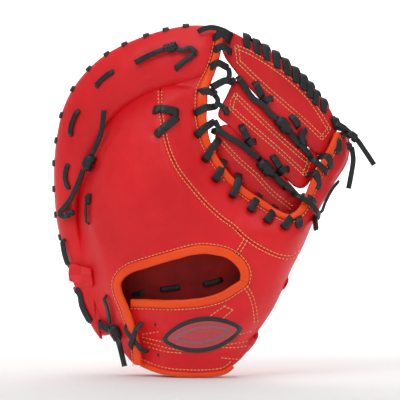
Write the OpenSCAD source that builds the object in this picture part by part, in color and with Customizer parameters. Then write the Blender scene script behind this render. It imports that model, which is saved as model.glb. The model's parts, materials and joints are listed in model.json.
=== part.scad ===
/* First baseman's mitt for the left hand: two padded sides that fold together
   about one line, a web of three leather posts and lace between them, and a
   wrist strap that slides to fit.
   X runs from the little finger to the thumb, Z from the wrist to the finger
   tips, and the palm faces +Y. The origin is the centre of the hand opening. */

/* [Overall] */
// Height from the bottom of the wrist strap to the top of the rim
mitt_h = 332; // [290:1:350]
// Rise of the little-finger rim above the bottom of the pocket
finger_rise = 62; // [40:1:70]
// Rise of the thumb rim above the bottom of the pocket
thumb_rise = 58; // [40:1:65]

/* [Leather and padding] */
// Thickness of the leather on the back of the hand
back_t = 3; // [2:0.5:3.5]
// Thickness of the leather in the palm
palm_t = 4; // [3:0.5:4]
// Thickness of the felt padding
pad_t = 9; // [6:0.5:9]
// Thickness of the palm lining
liner_t = 2; // [1:0.5:2]
// Height of the hand cavity at its deepest
cavity_h = 32; // [26:1:36]
// Thickness of one web post
post_t = 5; // [4:0.5:6]
// Width of the edge binding
bind_w = 6.6; // [5:0.2:7]
// Thickness of the edge binding
bind_t = 6; // [5:0.5:6]

/* [Laces] */
// Width of the lacing
lace_w = 5; // [4:0.5:6]
// Thickness of the lacing
lace_t = 2; // [1.5:0.5:2.5]

/* [Fold] */
// Depth of the folding line behind the origin
fold_y = 8; // [6:1:9]
// Angle that the palm folds through, for which room is left between the pads
fold_deg = 35; // [0:5:35]
// Travel of the wrist strap
strap_travel = 8; // [0:1:8]

/* [Hidden] */
k = mitt_h / 332;
gap = 0.5;             // clear space between neighbouring pieces
edge_t = 22;           // total thickness of the mitt at its edges
fold_top = [42, 236];  // the folding line, as X and Z
fold_end = [66, -60];
web_centre = [92, 150];
web_r = 74;
post_y = 13;           // depth of the web posts behind the palm face
rim_lace_gap = 3.6;    // clear space under the turns of lace round the rim
turn_gap = 1.5;        // clear space under the turns of lace over the web's binding
panel_hole = 9;        // distance of the web lacing's holes from the web's edge, in the panel
web_hole = 8;          // and in the web
pocket_y = 16;         // depth of the palm face at the bottom of the pocket
roll_y = 12;           // depth of the middle of a padded roll behind the palm face
rim_t = 26;            // thickness of the rim of the fingers
thumb_rim_t = 22;      // thickness of the rim of the thumb
thumb_knot_y = 36;     // depth of the lace end at the top of the thumb
black = "#22282B";

/* Outlines on the back of the mitt, as X and Z, at the nominal height. */
rim_out = k * [[34, 236], [0, 237], [-38, 227], [-72, 211], [-97, 188], [-113, 160], [-121, 121],
               [-122, 83], [-118, 45], [-107, 10], [-96, -26], [-78, -60]];
rim_in = k * [[20, 190], [-5, 181], [-36, 170], [-62, 153], [-78, 130], [-89, 104], [-98, 75],
              [-98, 49], [-90, 18], [-83, -7], [-74, -32], [-62, -56]];
seam = k * [[-19, 176], [-18, 157], [-15, 138], [-10, 119], [-2, 102], [10, 86], [24, 70],
            [38, 57], [50, 48]];
thumb_seam = k * [[60, 40], [71, 32], [82, 26], [93, 20], [102, 17]];
web_edge_f = k * [[38, 231], [36, 218], [33, 206], [29, 196], [24, 186], [20, 176], [19, 164],
                  [19, 153], [21, 142], [24, 130], [29, 119], [36, 107], [45, 95]];
web_edge_t = k * [[54, 86], [64, 78], [78, 69], [92, 60], [104, 56], [113, 61], [120, 71],
                  [126, 86], [132, 99], [139, 111], [146, 124], [152, 137]];
opening = k * [[-41, -84], [-42, -65], [-47, -46], [-53, -29], [-58, -14], [-57, -3], [-47, 5],
               [-28, 12], [-5, 19], [15, 24], [30, 26], [44, 22], [55, 13], [58, 2]];
thumb_out = k * [[163, 139], [165, 122], [160, 105], [151, 92], [142, 78], [133, 62], [125, 45],
                 [118, 28], [110, 13], [101, -5], [94, -22], [86, -36], [79, -46]];
thumb_in = k * [[155, 138], [156, 122], [151, 108], [142, 96], [133, 82], [124, 66], [116, 49],
                [109, 32], [101, 16], [93, -1], [87, -16], [81, -28], [75, -38]];
strap_top = k * [[-46, -26], [-28, -25], [-5, -24], [19, -22], [39, -17], [52, -10]];
strap_end = k * [[-38, -84], [-25, -89], [-5, -91], [18, -91], [38, -90], [50, -85]];
heel = k * [[-58, -66], [-40, -75], [-12, -79], [16, -79], [38, -75], [54, -66]];
top_post = k * [[[49, 232], [62, 227], [78, 220], [95, 209], [111, 197], [124, 185], [135, 173],
                 [145, 161], [150, 149]],
                [[49, 203], [56, 192], [67, 180], [80, 166], [92, 154], [105, 142], [117, 131],
                 [130, 122], [141, 123]]];
middle_post = k * [[[47, 190], [64, 175], [78, 161], [92, 147], [106, 134], [119, 122], [129, 109]],
                   [[34, 157], [48, 142], [62, 129], [75, 116], [88, 103], [102, 92], [115, 86]]];
lower_post = k * [[[41, 141], [53, 130], [65, 119], [77, 107], [89, 96], [101, 84], [112, 73]],
                  [[35, 123], [43, 110], [53, 99], [66, 88], [80, 77], [94, 69], [107, 66]]];

function unit(v) = v / norm(v);
function lerp(a, b, f) = a + (b - a) * f;
function clamp(v) = max(0, min(1, v));
function smooth(v) = let (c = clamp(v)) c * c * (3 - 2 * c);
function flip(p) = [for (i = [len(p) - 1:-1:0]) p[i]];
function part(p, a, b) = [for (i = [a:b]) p[i]];
// A point on the smooth curve through p, where u counts its points
function spline(p, u) =
    let (n = len(p) - 1, i = min(floor(u), n - 1), f = u - i,
         a = p[max(i - 1, 0)], b = p[i], c = p[i + 1], d = p[min(i + 2, n)])
    0.5 * (2 * b + (c - a) * f + (2 * a - 5 * b + 4 * c - d) * f * f
           + (3 * b - 3 * c + d - a) * f * f * f);
function curve(p, n) = [for (i = [0:n]) spline(p, i * (len(p) - 1) / n)];
function tangent(p, i) = unit(p[min(i + 1, len(p) - 1)] - p[max(i - 1, 0)]);
// The outline moved sideways by d, to its left as it runs
function beside(p, d) =
    [for (i = [0:len(p) - 1]) let (t = tangent(p, i)) p[i] + d * [-t.y, t.x]];

// X of the folding line at height z
function fold_x(z) = lerp(fold_top.x, fold_end.x, (fold_top.y - z) / (fold_top.y - fold_end.y));
// The palm's outer face
function palm_y(x, z) =
    let (u = x - fold_x(z), rise = u < 0 ? finger_rise / pow(170, 2) : thumb_rise / pow(121, 2))
    pocket_y + rise * u * u + 0.0005 * pow(z - 80, 2);
// How far the hand fills the mitt out at a point, from 0 to 1, on each side
function finger_fill(x, z) =
    let (a = 95 + 0.35 * min(0, z), e = pow((x + 5) / a, 2) + pow(max(0, z - 55) / 127, 2))
    sqrt(max(0, 1 - e));
function thumb_fill(x, z) =
    let (dx = x - 105, dz = z - 45, p = dx * cos(56) + dz * sin(56), q = dz * cos(56) - dx * sin(56))
    sqrt(max(0, 1 - pow(p / 110, 2) - pow(q / 52, 2)));
function fill(x, z) =
    pow(pow(finger_fill(x, z), 3) + pow(0.85 * thumb_fill(x, z), 3), 1 / 3)
    * smooth((norm([x, z] - web_centre) - web_r) / 40);
function thickness(x, z) = edge_t + (cavity_h - 2) * fill(x, z);
function back_y(x, z) = palm_y(x, z) - thickness(x, z);
function post_face(x, z) = palm_y(x, z) - post_y;

// A closed solid through a row of rings with the same even number of points; each ring runs
// out along one edge and back along the other, so its ends close as a strip between the two
module loft(rings) {
    n = len(rings);
    m = len(rings[0]);
    centre = [for (r = [rings[0], rings[1]]) mean(r)];
    normal = total([for (j = [0:m - 1]) cross(rings[0][j] - centre[0], rings[0][(j + 1) % m] - centre[0])]);
    way = normal * (centre[1] - centre[0]) > 0;
    sides = [for (i = [0:n - 2], j = [0:m - 1])
        let (a = i * m + j, b = i * m + (j + 1) % m, c = b + m, d = a + m)
        each [[d, c, b], [d, b, a]]];
    cap = [for (j = [0:m / 2 - 2])
        let (a = j, b = j + 1, c = m - 2 - j, d = m - 1 - j)
        each [[a, b, c], [a, c, d]]];
    last = (n - 1) * m;
    far = [for (f = cap) [last + f[2], last + f[1], last + f[0]]];
    faces = concat(sides, cap, far);
    polyhedron([for (r = rings) each r], way ? faces : [for (f = faces) flip(f)], convexity = 6);
}
function total(p, i = 0) = i == len(p) - 1 ? p[i] : p[i] + total(p, i + 1);
function mean(p) = total(p) / len(p);

// A layer between the outlines a and b, from depth y0(x, z) and t thick
module layer(a, b, n, m, y0, t) {
    p = curve(a, n);
    q = curve(b, n);
    loft([for (i = [0:n])
        let (row = [for (j = [0:m]) lerp(p[i], q[i], j / m)])
        concat([for (r = row) [r.x, y0(r.x, r.y), r.y]],
               [for (r = flip(row)) [r.x, y0(r.x, r.y) + t, r.y]])]);
}
// A flat bar along an outline, with its middle at depth y0(x, z)
module bar(line, n, w, t, y0) {
    p = curve(line, n);
    loft([for (i = [0:n])
        let (s = tangent(p, i), side = [-s.y, 0, s.x] * w / 2, c = [p[i].x, y0(p[i].x, p[i].y), p[i].y])
        [for (f = [[-1, -0.35], [-0.65, -0.5], [0.65, -0.5], [1, -0.35], [1, 0.35], [0.65, 0.5],
                   [-0.65, 0.5], [-1, 0.35]]) c + side * f.x + [0, t * f.y, 0]]]);
}
// A padded roll between two outlines, as deep as `depth`, following the palm
module roll(a, b, n, depth, inset, sides) {
    p = curve(a, n);
    q = curve(b, n);
    loft([for (i = [0:n])
        let (c = (p[i] + q[i]) / 2, h = (q[i] - p[i]) / 2, w = norm(h) - inset)
        [for (j = [0:sides - 1])
            let (t = 360 * j / sides, s = c + unit(h) * w * cos(t))
            [s.x, palm_y(s.x, s.y) - roll_y + (depth / 2 - inset) * sin(t), s.y]]]);
}
// The leather skin of such a roll, open towards the hand
module roll_skin(a, b, n, depth, t) {
    p = curve(a, n);
    q = curve(b, n);
    loft([for (i = [0:n])
        let (c = (p[i] + q[i]) / 2, h = (q[i] - p[i]) / 2)
        [for (k = [0:17])
            let (inner = k > 8, ang = -150 + 300 * (inner ? 17 - k : k) / 8,
                 w = norm(h) - gap - (inner ? t : 0), s = c - unit(h) * w * cos(ang))
            [s.x, palm_y(s.x, s.y) - roll_y + (depth / 2 - (inner ? t : 0)) * sin(ang), s.y]]]);
}
// A flat lace along points in space
module lace(p, side = undef, w = lace_w, t = lace_t) {
    loft([for (i = [0:len(p) - 1])
        let (d = tangent(p, i), s = side == undef ? unit(cross(d, [0, 1, 0])) : side,
             n = unit(cross(s, d)))
        [p[i] - s * w / 2 - n * t / 2, p[i] + s * w / 2 - n * t / 2,
         p[i] + s * w / 2 + n * t / 2, p[i] - s * w / 2 + n * t / 2]]);
}
// Points [x, z] laid on the face y0, with clear space under the lace
function laid(p, y0, over = 0) =
    [for (q = p) [q.x, y0(q.x, q.y) - lace_t / 2 - gap - over, q.y]];
module laid_lace(p, y0, n = 6, over = 0) { lace(laid(curve(p, n), y0, over)); }
// A knot: a short thick turn of lace
module knot(p, y0, over = 0) {
    c = [p.x, y0(p.x, p.y) - 4.2 - over, p.y];
    lace([c - [4.5, 0, 0], c - [3, 0, 0], c + [3, 0, 0], c + [4.5, 0, 0]], undef, 8, 5);
}
// Depth of a turn of lace that crosses the binding on its way from a to b
function over_binding(a, b) =
    min([for (f = [0.2:0.15:0.8]) let (p = lerp(a, b, f)) back_edge(p.x, p.y)])
    - bind_t / 2 - lace_t / 2 - turn_gap;
// A lace turn from hole a, over the binding, to hole b beyond it
module edge_turn(a, b, y_a, y_b) {
    m = lerp(a, b, 0.5);
    d = unit(b - a);
    side = [-d.y, 0, d.x];
    top = over_binding(a, b);
    lace([[a.x, y_a(a.x, a.y) - lace_t / 2 - turn_gap - back_t / 2, a.y],
          [lerp(a, b, 0.15).x, top + 0.5, lerp(a, b, 0.15).y],
          [m.x, top, m.y],
          [lerp(a, b, 0.85).x, top + 0.5, lerp(a, b, 0.85).y],
          [b.x, y_b(b.x, b.y) - lace_t / 2 - gap, b.y]], side);
}
back = function(x, z) back_y(x, z);
post = function(x, z) post_face(x, z);
rim = function(x, z) palm_y(x, z) - roll_y - rim_t / 2 - 2 * gap;
// The outermost of the rim and the back of the hand
outside = function(x, z) min(rim(x, z), back_y(x, z));

// The edge of a palm piece at the fold: side is -1 for the fingers, 1 for the thumb
function fold_edge(z, side, clear = 0.6) =
    let (x = fold_x(z)) [x + side * (clear + (palm_y(x, z) - fold_y) * tan(fold_deg / 2)), z];
function fold_edges(z, side, clear = 0.6) = [for (h = z) fold_edge(h * k, side, clear)];
// The strap's outer face: it dips under the heel of the back panel at its end
strap = function(x, z) back_y(x, z) + 0.6 + 8 * smooth((strap_travel - 16 - x) / 24);
liner = function(x, z) palm_y(x, z) - palm_t - pad_t - liner_t - 3 * gap;
palm = function(x, z) palm_y(x, z) - palm_t;
pad = function(x, z) palm_y(x, z) - palm_t - pad_t - gap;
back_edge = function(x, z) back_y(x, z) + 1.5;

/* Finger side */
module back_finger_panel() {
    upper = [for (i = [1:7]) spline(rim_in, 2 + 0.6 * i)];
    lower = [for (i = [1:5]) spline(rim_in, lerp(6.2, 10.9, i / 5))];
    a = concat(k * [[-24, 173.5]], beside(concat(upper, lower), 0.8), k * [[-61, -70], [-57, -84]]);
    b = concat(beside(seam, -0.3), k * [[55, 38]], beside(flip(part(opening, 0, 10)), -4.2));
    color("crimson") layer(a, b, 24, 7, back, back_t);
}
module back_index_panel() {
    a = concat(k * [[-17.5, 177]], beside(part(seam, 1, 8), 0.3));
    b = concat(k * [[17, 187]], beside(part(web_edge_f, 5, 12), -4.2));
    color("crimson") layer(a, b, 14, 5, back, back_t);
}
module rim_band() { color("crimson") roll_skin(rim_in, rim_out, 26, rim_t, back_t); }
module rim_pad() { color("wheat") roll(rim_in, rim_out, 20, rim_t, back_t + 2 * gap, 10); }
module palm_shell_finger() {
    a = concat(k * [[8, 184.6]], part(beside(rim_in, 1.2), 1, 11));
    b = concat(k * [[19, 188.3]], beside(part(web_edge_f, 5, 11), -4.2),
               fold_edges([88, 72, 56, 40, 20, 0, -20, -40, -58], -1));
    color("crimson") layer(a, b, 20, 8, palm, palm_t);
}
module finger_pad() {
    b = concat(beside(part(web_edge_f, 5, 11), -12),
               fold_edges([80, 65, 50, 35, 18, 0, -20, -38, -54], -1, 15));
    color("wheat") layer(part(beside(rim_in, 2.4), 1, 11), b, 14, 5, pad, pad_t);
}
module palm_liner() {
    b = concat(beside(part(web_edge_f, 5, 11), -14),
               fold_edges([80, 65, 50, 35, 18, 0, -20, -38, -54], -1, 4));
    color("darkred") layer(part(beside(rim_in, 5), 1, 11), b, 14, 5, liner, liner_t);
}
// A leather arch on the lining, for one finger that points along `angle`
module inner_loop(c, angle, half_w, h, len) {
    d = [cos(angle), sin(angle)];
    s = [-d.y, d.x];
    loft([for (f = [-0.5, 0, 0.5])
        [for (j = [0:15])
            let (inner = j > 7, a = 10 + 160 * (inner ? 15 - j : j) / 7, w = half_w - (inner ? 2 : 0),
                 p = c + d * len * f + s * w * cos(a))
            [p.x, liner(p.x, p.y) - 0.5 - (h - (inner ? 2 : 0)) * sin(a), p.y]]]);
}
module finger_loop() { color("firebrick") inner_loop(k * [-58, 52], 100, 14, 17, 22); }
module heel_roll() {
    inner = [for (p = heel) [p.x, p.y + 10]];
    color("crimson") roll(inner, [for (p = heel) [p.x, p.y - 10]], 12, 24, gap, 10);
}
module little_finger_tab() {
    color("crimson") layer(k * [[-107, 11], [-101, -10], [-94, -32], [-84, -54]],
        k * [[-89, 8], [-88, -10], [-82, -30], [-77, -50]], 6, 3,
        function(x, z) palm_y(x, z) - 29, 2);
}
module web_binding_finger() { color("orangered") bar(web_edge_f, 22, bind_w, bind_t, back_edge); }
module wrist_binding() { color("orangered") bar(opening, 26, bind_w, bind_t, back_edge); }
// Turns of the lace round the outer edge of the rim
module rim_lace() {
    color(black) for (f = [0.9:0.78:8.7]) {
        a = spline(rim_in, f);
        b = spline(rim_out, f);
        c = (a + b) / 2;
        h = unit(b - a);
        w = norm(b - a) / 2 + lace_t / 2 + rim_lace_gap;
        lace([for (t = [-60:20:60]) let (p = c + h * w * cos(t))
                [p.x, palm_y(p.x, p.y) - roll_y + (rim_t / 2 + lace_t / 2 + rim_lace_gap) * sin(t), p.y]],
             [-h.y, 0, h.x]);
    }
}
module band_lace() {
    color(black) {
        laid_lace(k * [[-82, 181], [-72, 189], [-63, 197]], rim, 3);
        laid_lace(k * [[-106, 134], [-103, 147], [-98, 160]], rim, 3);
        laid_lace(k * [[-108, 83], [-109, 96], [-108, 109]], rim, 3);
    }
}
module top_knot_lace() {
    color(black) {
        laid_lace(k * [[-5, 197], [8, 208], [15, 212]], rim, 4, 1);
        laid_lace(k * [[13, 214], [3, 217], [-6, 219]], rim, 3, 4.5);
        knot(k * [-8, 219], rim, 5);
    }
}
module tail(p, y) { color(black) lace([for (q = curve(p, 7)) [q.x, y, q.y]]); }
module top_lace_tail() {
    p = curve(top_tail, 8);
    color(black) lace([for (q = p) [q.x, rim(q.x, q.y) - 6, q.y]]);
}
module seam_lace() {
    color(black) {
        laid_lace(k * [[-26, 158], [-12, 157], [-3, 155]], back, 3, 1.5);
        laid_lace(k * [[-2, 152], [-12, 144], [-22, 134]], back, 3, 1.5);
    }
}
module side_lace() {
    color(black) {
        knot(k * [-88, 108], outside, 4.2);
        laid_lace(k * [[-92, 104], [-96, 92], [-104, 74], [-114, 62]], outside, 6, 1.5);
        knot(k * [-88, 73], outside, 3.5);
        laid_lace(k * [[-88, 68], [-88, 48]], outside, 3, 2);
    }
}
module side_lace_tail() {
    p = curve(side_tail, 9);
    color(black) lace([for (q = p) [q.x, rim(q.x, q.y) - 8, q.y]]);
}
module heel_lace() {
    color(black) {
        laid_lace(k * [[-102, -11], [-96, -18], [-93, -31], [-86, -45]], rim, 6, 4.5);
        laid_lace(k * [[-73, -18], [-67, -31], [-65, -44]], rim, 4, 2);
        knot(k * [-64, -50], rim, 2);
    }
}
module heel_lace_tail() {
    p = curve(heel_tail, 8);
    color(black) lace([for (q = p) [q.x, rim(q.x, q.y) - 7, q.y]]);
}
// The heel lacing where it shows inside the hand opening
module palm_lace() {
    color(black) {
        laid_lace(k * [[-46, -19], [-40, -16], [-34, -14]], liner, 2);
        laid_lace(k * [[-21, -12], [-10, -10], [1, -10]], liner, 3);
        laid_lace(k * [[21, -7], [30, -5], [40, -2]], liner, 3);
    }
}
module strap_lace() {
    color(black) {
        laid_lace(k * [[-52, -48], [-42, -59], [-32, -70]], back, 4, 4.5);
        laid_lace(k * [[-37, -44], [-41, -57], [-46, -70]], back, 4, 7.5);
    }
}
// A turn of the web lacing at u on an edge: its hole in the panel and its hole in the web
function web_turn(edge, u) =
    let (c = spline(edge, u), t = unit(spline(edge, u + 0.1) - c), n = [-t.y, t.x])
    [c - panel_hole * n, c + web_hole * n];
web_turns_f = [for (u = [0.8:1.2:12]) web_turn(web_edge_f, u)];
web_turns_t = [for (u = [0.5:1.1:10.8]) web_turn(web_edge_t, u)];
// A turn as far as the outer edge of the binding
module half_turn(a, b, reach) {
    m = lerp(a, b, reach);
    top = over_binding(a, m);
    d = unit(b - a);
    lace([[a.x, outside(a.x, a.y) - lace_t / 2 - turn_gap, a.y],
          [lerp(a, m, 0.3).x, top, lerp(a, m, 0.3).y],
          [m.x, top, m.y]], [-d.y, 0, d.x]);
}
module web_lace_finger() { color(black) for (t = web_turns_f) half_turn(t[0], t[1], 0.62); }

/* Wrist strap */
module wrist_strap() {
    a = concat(beside(strap_top, -4.2), k * [[62, -19], [69, -31]]);
    b = concat(beside(strap_end, 4.2), k * [[59, -74], [67, -56]]);
    color("crimson") layer(a, b, 18, 5, strap, back_t);
}
module strap_lining() {
    a = concat(beside(strap_top, -6), k * [[60, -21], [66, -32]]);
    b = concat(beside(strap_end, 6), k * [[57, -72], [64, -56]]);
    color("firebrick") layer(a, b, 14, 4, function(x, z) strap(x, z) + back_t + gap, liner_t);
}
strap_edge = function(x, z) strap(x, z) + 1.5;
module strap_top_binding() { color("orangered") bar(strap_top, 14, bind_w, bind_t - 1, strap_edge); }
module strap_end_binding() { color("orangered") bar(strap_end, 14, bind_w, bind_t - 1, strap_edge); }
module emblem_patch() {
    a = k * [[-16, -45], [8, -42], [30, -38], [52, -36]];
    b = k * [[-14, -68], [8, -71], [30, -70], [50, -62]];
    color("indianred") layer(a, b, 10, 4, function(x, z) strap(x, z) - gap - 1.5, 1.5);
}

/* Thumb side */
module thumb_panel() {
    a = k * [[62, 34], [63, 24], [64, 12], [65, 1], [66, -10], [69, -20], [73, -29], [75, -36]];
    b = concat(k * [[63, 37.5]], part(beside(thumb_seam, -2.2), 1, 4),
               [for (u = [9:0.95:10.9]) spline(thumb_in, u) - [1.2, 0]]);
    color("crimson") layer(a, b, 14, 6, back, back_t);
}
module thumb_upper_panel() {
    a = beside(part(web_edge_t, 0, 10), -4.2);
    b = concat(beside(thumb_seam, 0.8),
               [for (u = [6.1:-0.95:1.3]) spline(thumb_in, u) - [1.2, 0]]);
    color("crimson") layer(a, b, 24, 8, back, back_t);
}
module thumb_rim_band() { color("crimson") roll(thumb_in, thumb_out, 24, thumb_rim_t, gap, 12); }
// The two edges of a layer of the thumb's palm: the inner one runs up the fold, `clear` from it,
// and along points `first` to `last` of the web's edge; the outer one follows the thumb's rim
function thumb_inner(low, clear, inset, first, last) =
    concat(fold_edges([for (i = [0:6]) lerp(low, 72 - 1.6 * inset, i / 6)], 1, clear),
           beside(part(web_edge_t, first, last), -inset));
function thumb_outer(start, inset, first, last) =
    let (rim = flip(thumb_in),
         u = concat([for (i = [0:6]) lerp(start, 2.6, i / 6)],
                    [for (i = [first:last]) i + 1 + 0.4 * max(0, 3 - i)]))
    [for (v = u) spline(rim, v) - [inset, 0]];
module palm_shell_thumb() {
    color("crimson") layer(thumb_inner(-34, 0.6, 4.2, 1, 9), thumb_outer(1, 1.2, 1, 9), 20, 7,
                           palm, palm_t);
}
module thumb_pad() {
    color("wheat") layer(thumb_inner(-4, 12, 9, 2, 4), thumb_outer(2, 3, 2, 4), 14, 4, pad, pad_t);
}
module thumb_liner() {
    color("darkred") layer(thumb_inner(-26, 4, 9, 2, 4), thumb_outer(1.2, 3, 2, 4), 14, 4,
                           liner, liner_t);
}
module thumb_loop() { color("firebrick") inner_loop(k * [92, 33], 56, 13, 16, 20); }
module web_binding_thumb() { color("orangered") bar(web_edge_t, 22, bind_w, bind_t, back_edge); }
module web_post(edges, n) { color("crimson") layer(edges[0], edges[1], n, 3, post, post_t); }
module web_top_post() { web_post(top_post, 14); }
module web_middle_post() { web_post(middle_post, 12); }
module web_lower_post() { web_post(lower_post, 12); }
// Turns of lace round the web's top edge
module web_edge_lace() {
    color(black) for (i = [0.7:0.66:7.4]) {
        e = spline(top_post[0], i);
        d = unit(spline(top_post[0], i + 0.1) - e);
        n = [d.y, -d.x];
        q = e + 14 * n;
        y = post_face(e.x, e.y);
        yq = post_face(q.x, q.y);
        o = lace_t / 2 + 2 * gap;
        lace([[q.x, yq - o, q.y], [e.x, y - o, e.y],
              [e.x - n.x * (o + 0.4), y + post_t / 2, e.y - n.y * (o + 0.4)],
              [e.x, y + post_t + o, e.y], [q.x, yq + post_t + o, q.y]], [d.x, 0, d.y]);
    }
}
module cross_over(c, a, over) {
    laid_lace([c - a, c, c + a], post, 2, over);
}
module upper_braid_lace() {
    color(black) {
        laid_lace(k * [[55, 193], [66, 182], [78, 169], [90, 156], [99, 146]], post, 7, 1);
        cross_over(k * [76, 171], k * [7, 11], 2.6);
        knot(k * [100, 143], post, 0.5);
        laid_lace(k * [[106, 140], [116, 136], [124, 126], [129, 120]], post, 6, 1.5);
        cross_over(k * [116, 136], k * [6, 9], 2.6);
    }
}
module lower_braid_lace() {
    color(black) {
        laid_lace(k * [[36, 141], [50, 134], [64, 128], [74, 116], [82, 105]], post, 7);
        cross_over(k * [65, 127], k * [7, 9], 2.6);
        knot(k * [83, 102], post, 0.5);
        laid_lace(k * [[88, 102], [96, 101], [103, 91], [109, 81]], post, 6.5);
        cross_over(k * [96, 101], k * [7, 8], 2.6);
    }
}
module web_lace_thumb() {
    color(black) for (t = web_turns_t) edge_turn(t[0], t[1], back_edge, post);
}
module thumb_knot_lace() {
    color(black) lace([for (p = k * [[150, 147], [158, 141], [164, 136]]) [p.x, thumb_knot_y, p.y]]);
}
// Free ends of the laces, as X and Z
top_tail = k * [[-14, 217], [-26, 212], [-43, 204]];
side_tail = k * [[-86, 115], [-81, 124], [-75, 140], [-73, 159]];
heel_tail = k * [[-62, -56], [-58, -66], [-54, -86]];
thumb_tail_a = k * [[166, 134], [172, 128], [185, 109]];
thumb_tail_b = k * [[165, 124], [166, 112], [162, 84]];
module thumb_lace_tail_a() { tail(thumb_tail_a, 40); }
module thumb_lace_tail_b() { tail(thumb_tail_b, 34); }

back_finger_panel();
back_index_panel();
rim_band();
rim_pad();
palm_shell_finger();
finger_pad();
palm_liner();
finger_loop();
heel_roll();
little_finger_tab();
web_binding_finger();
wrist_binding();
rim_lace();
band_lace();
top_knot_lace();
top_lace_tail();
seam_lace();
side_lace();
side_lace_tail();
heel_lace();
heel_lace_tail();
palm_lace();
strap_lace();
web_lace_finger();
wrist_strap();
strap_lining();
strap_top_binding();
strap_end_binding();
emblem_patch();
thumb_panel();
thumb_upper_panel();
thumb_rim_band();
palm_shell_thumb();
thumb_pad();
thumb_liner();
thumb_loop();
web_binding_thumb();
web_top_post();
web_middle_post();
web_lower_post();
web_edge_lace();
upper_braid_lace();
lower_braid_lace();
web_lace_thumb();
thumb_knot_lace();
thumb_lace_tail_a();
thumb_lace_tail_b();
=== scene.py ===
"""First baseman's mitt for the left hand: the leather, binding, lacing and stitching
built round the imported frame. Lengths are in millimetres until a mesh is made."""
import json
import math

import bpy
import numpy as np
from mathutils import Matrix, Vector, noise
from mathutils.geometry import delaunay_2d_cdt


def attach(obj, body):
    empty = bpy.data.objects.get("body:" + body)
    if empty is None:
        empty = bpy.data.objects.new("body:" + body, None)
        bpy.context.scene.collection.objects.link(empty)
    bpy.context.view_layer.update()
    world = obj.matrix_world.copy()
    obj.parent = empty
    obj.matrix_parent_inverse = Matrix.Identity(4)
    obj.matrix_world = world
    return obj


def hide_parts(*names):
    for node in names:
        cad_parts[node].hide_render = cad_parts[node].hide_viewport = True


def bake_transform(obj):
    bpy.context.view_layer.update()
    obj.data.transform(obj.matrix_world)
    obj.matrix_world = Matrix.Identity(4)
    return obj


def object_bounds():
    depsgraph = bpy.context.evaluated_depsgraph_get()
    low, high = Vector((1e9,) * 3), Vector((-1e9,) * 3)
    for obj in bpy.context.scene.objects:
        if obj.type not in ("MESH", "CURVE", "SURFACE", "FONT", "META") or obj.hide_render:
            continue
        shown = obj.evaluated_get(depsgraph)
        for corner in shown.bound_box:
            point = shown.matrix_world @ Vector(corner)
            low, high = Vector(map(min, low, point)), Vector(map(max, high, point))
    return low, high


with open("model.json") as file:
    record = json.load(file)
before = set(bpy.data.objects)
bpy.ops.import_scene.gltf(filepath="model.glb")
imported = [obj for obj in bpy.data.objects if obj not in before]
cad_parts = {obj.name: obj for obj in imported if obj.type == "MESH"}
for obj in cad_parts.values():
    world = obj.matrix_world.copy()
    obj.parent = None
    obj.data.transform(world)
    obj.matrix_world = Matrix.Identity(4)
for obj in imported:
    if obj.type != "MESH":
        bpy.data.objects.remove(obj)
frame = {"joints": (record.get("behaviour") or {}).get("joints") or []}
cad_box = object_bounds()

MM = 0.001
FINGER, THUMB, STRAP = "finger_side", "thumb_side", "wrist_strap_body"
LACE_W, LACE_T = 5.2, 1.9
BACK_T, PALM_T, POST_T = 3.0, 4.0, 5.0
BIND_W, BIND_T = 7.2, 5.6
WEB_CENTRE, WEB_R = np.array([92.0, 150.0]), 74.0

close = next(j for j in frame["joints"] if j["name"] == "close")
FOLD_AT = np.array(close["pos_m"]) / MM
FOLD_AXIS = np.array(close["axis"])
FOLD_SLOPE = FOLD_AXIS[0] / FOLD_AXIS[2]


# ---------------------------------------------------------------- outlines (X, Z) on the back
RIM_OUT = [(41, 235), (28, 237.5), (0, 237), (-38, 227), (-72, 211), (-97, 188), (-113, 160), (-121, 121),
           (-122, 83), (-118, 45), (-107, 10), (-96, -26), (-78, -60)]
RIM_IN = [(26, 190), (14, 186), (-5, 181), (-36, 170), (-62, 153), (-78, 130), (-89, 104), (-98, 75),
          (-98, 49), (-90, 18), (-83, -7), (-74, -32), (-62, -56)]
SEAM = [(-19, 176), (-18, 157), (-15, 138), (-10, 119), (-2, 102), (10, 86), (24, 70), (38, 57),
        (50, 48)]
THUMB_SEAM = [(60, 40), (71, 32), (82, 26), (93, 21), (104, 18)]
WEB_EDGE_F = [(38, 231), (36, 218), (33, 206), (29, 196), (24, 186), (20, 176), (19, 164),
              (19, 153), (21, 142), (24, 130), (29, 119), (36, 107), (45, 95)]
WEB_EDGE_T = [(54, 86), (64, 78), (78, 69), (92, 60), (104, 56), (113, 61), (120, 71), (126, 86),
              (132, 99), (139, 111), (146, 124), (152, 137)]
OPENING = [(-39, -84), (-41, -65), (-46, -46), (-52, -29), (-58, -14), (-58, -3), (-48, 7),
           (-28, 14), (-5, 21), (15, 26), (30, 26), (46, 22), (57, 13), (61, 4), (60, -3)]
THUMB_OUT = [(163, 139), (165, 122), (160, 105), (151, 92), (142, 78), (133, 62), (125, 45),
             (118, 28), (110, 13), (101, -5), (94, -22), (86, -36), (77, -49), (68, -61)]
STRAP_TOP = [(-46, -25), (-28, -25), (-5, -25), (19, -23), (38, -18), (50, -11), (59, -5)]
STRAP_END = [(-38, -83), (-25, -88), (-10, -91), (8, -92), (24, -92), (41, -90), (50, -84)]


# ---------------------------------------------------------------- curves
def spline(points, count):
    """count points on the smooth curve through points."""
    p = np.asarray(points, float)
    n = len(p) - 1
    u = np.linspace(0, n, count)
    i = np.minimum(u.astype(int), n - 1)
    f = (u - i)[:, None]
    a, b, c, d = p[np.maximum(i - 1, 0)], p[i], p[i + 1], p[np.minimum(i + 2, n)]
    return 0.5 * (2 * b + (c - a) * f + (2 * a - 5 * b + 4 * c - d) * f ** 2
                  + (3 * b - 3 * c + d - a) * f ** 3)


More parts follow.
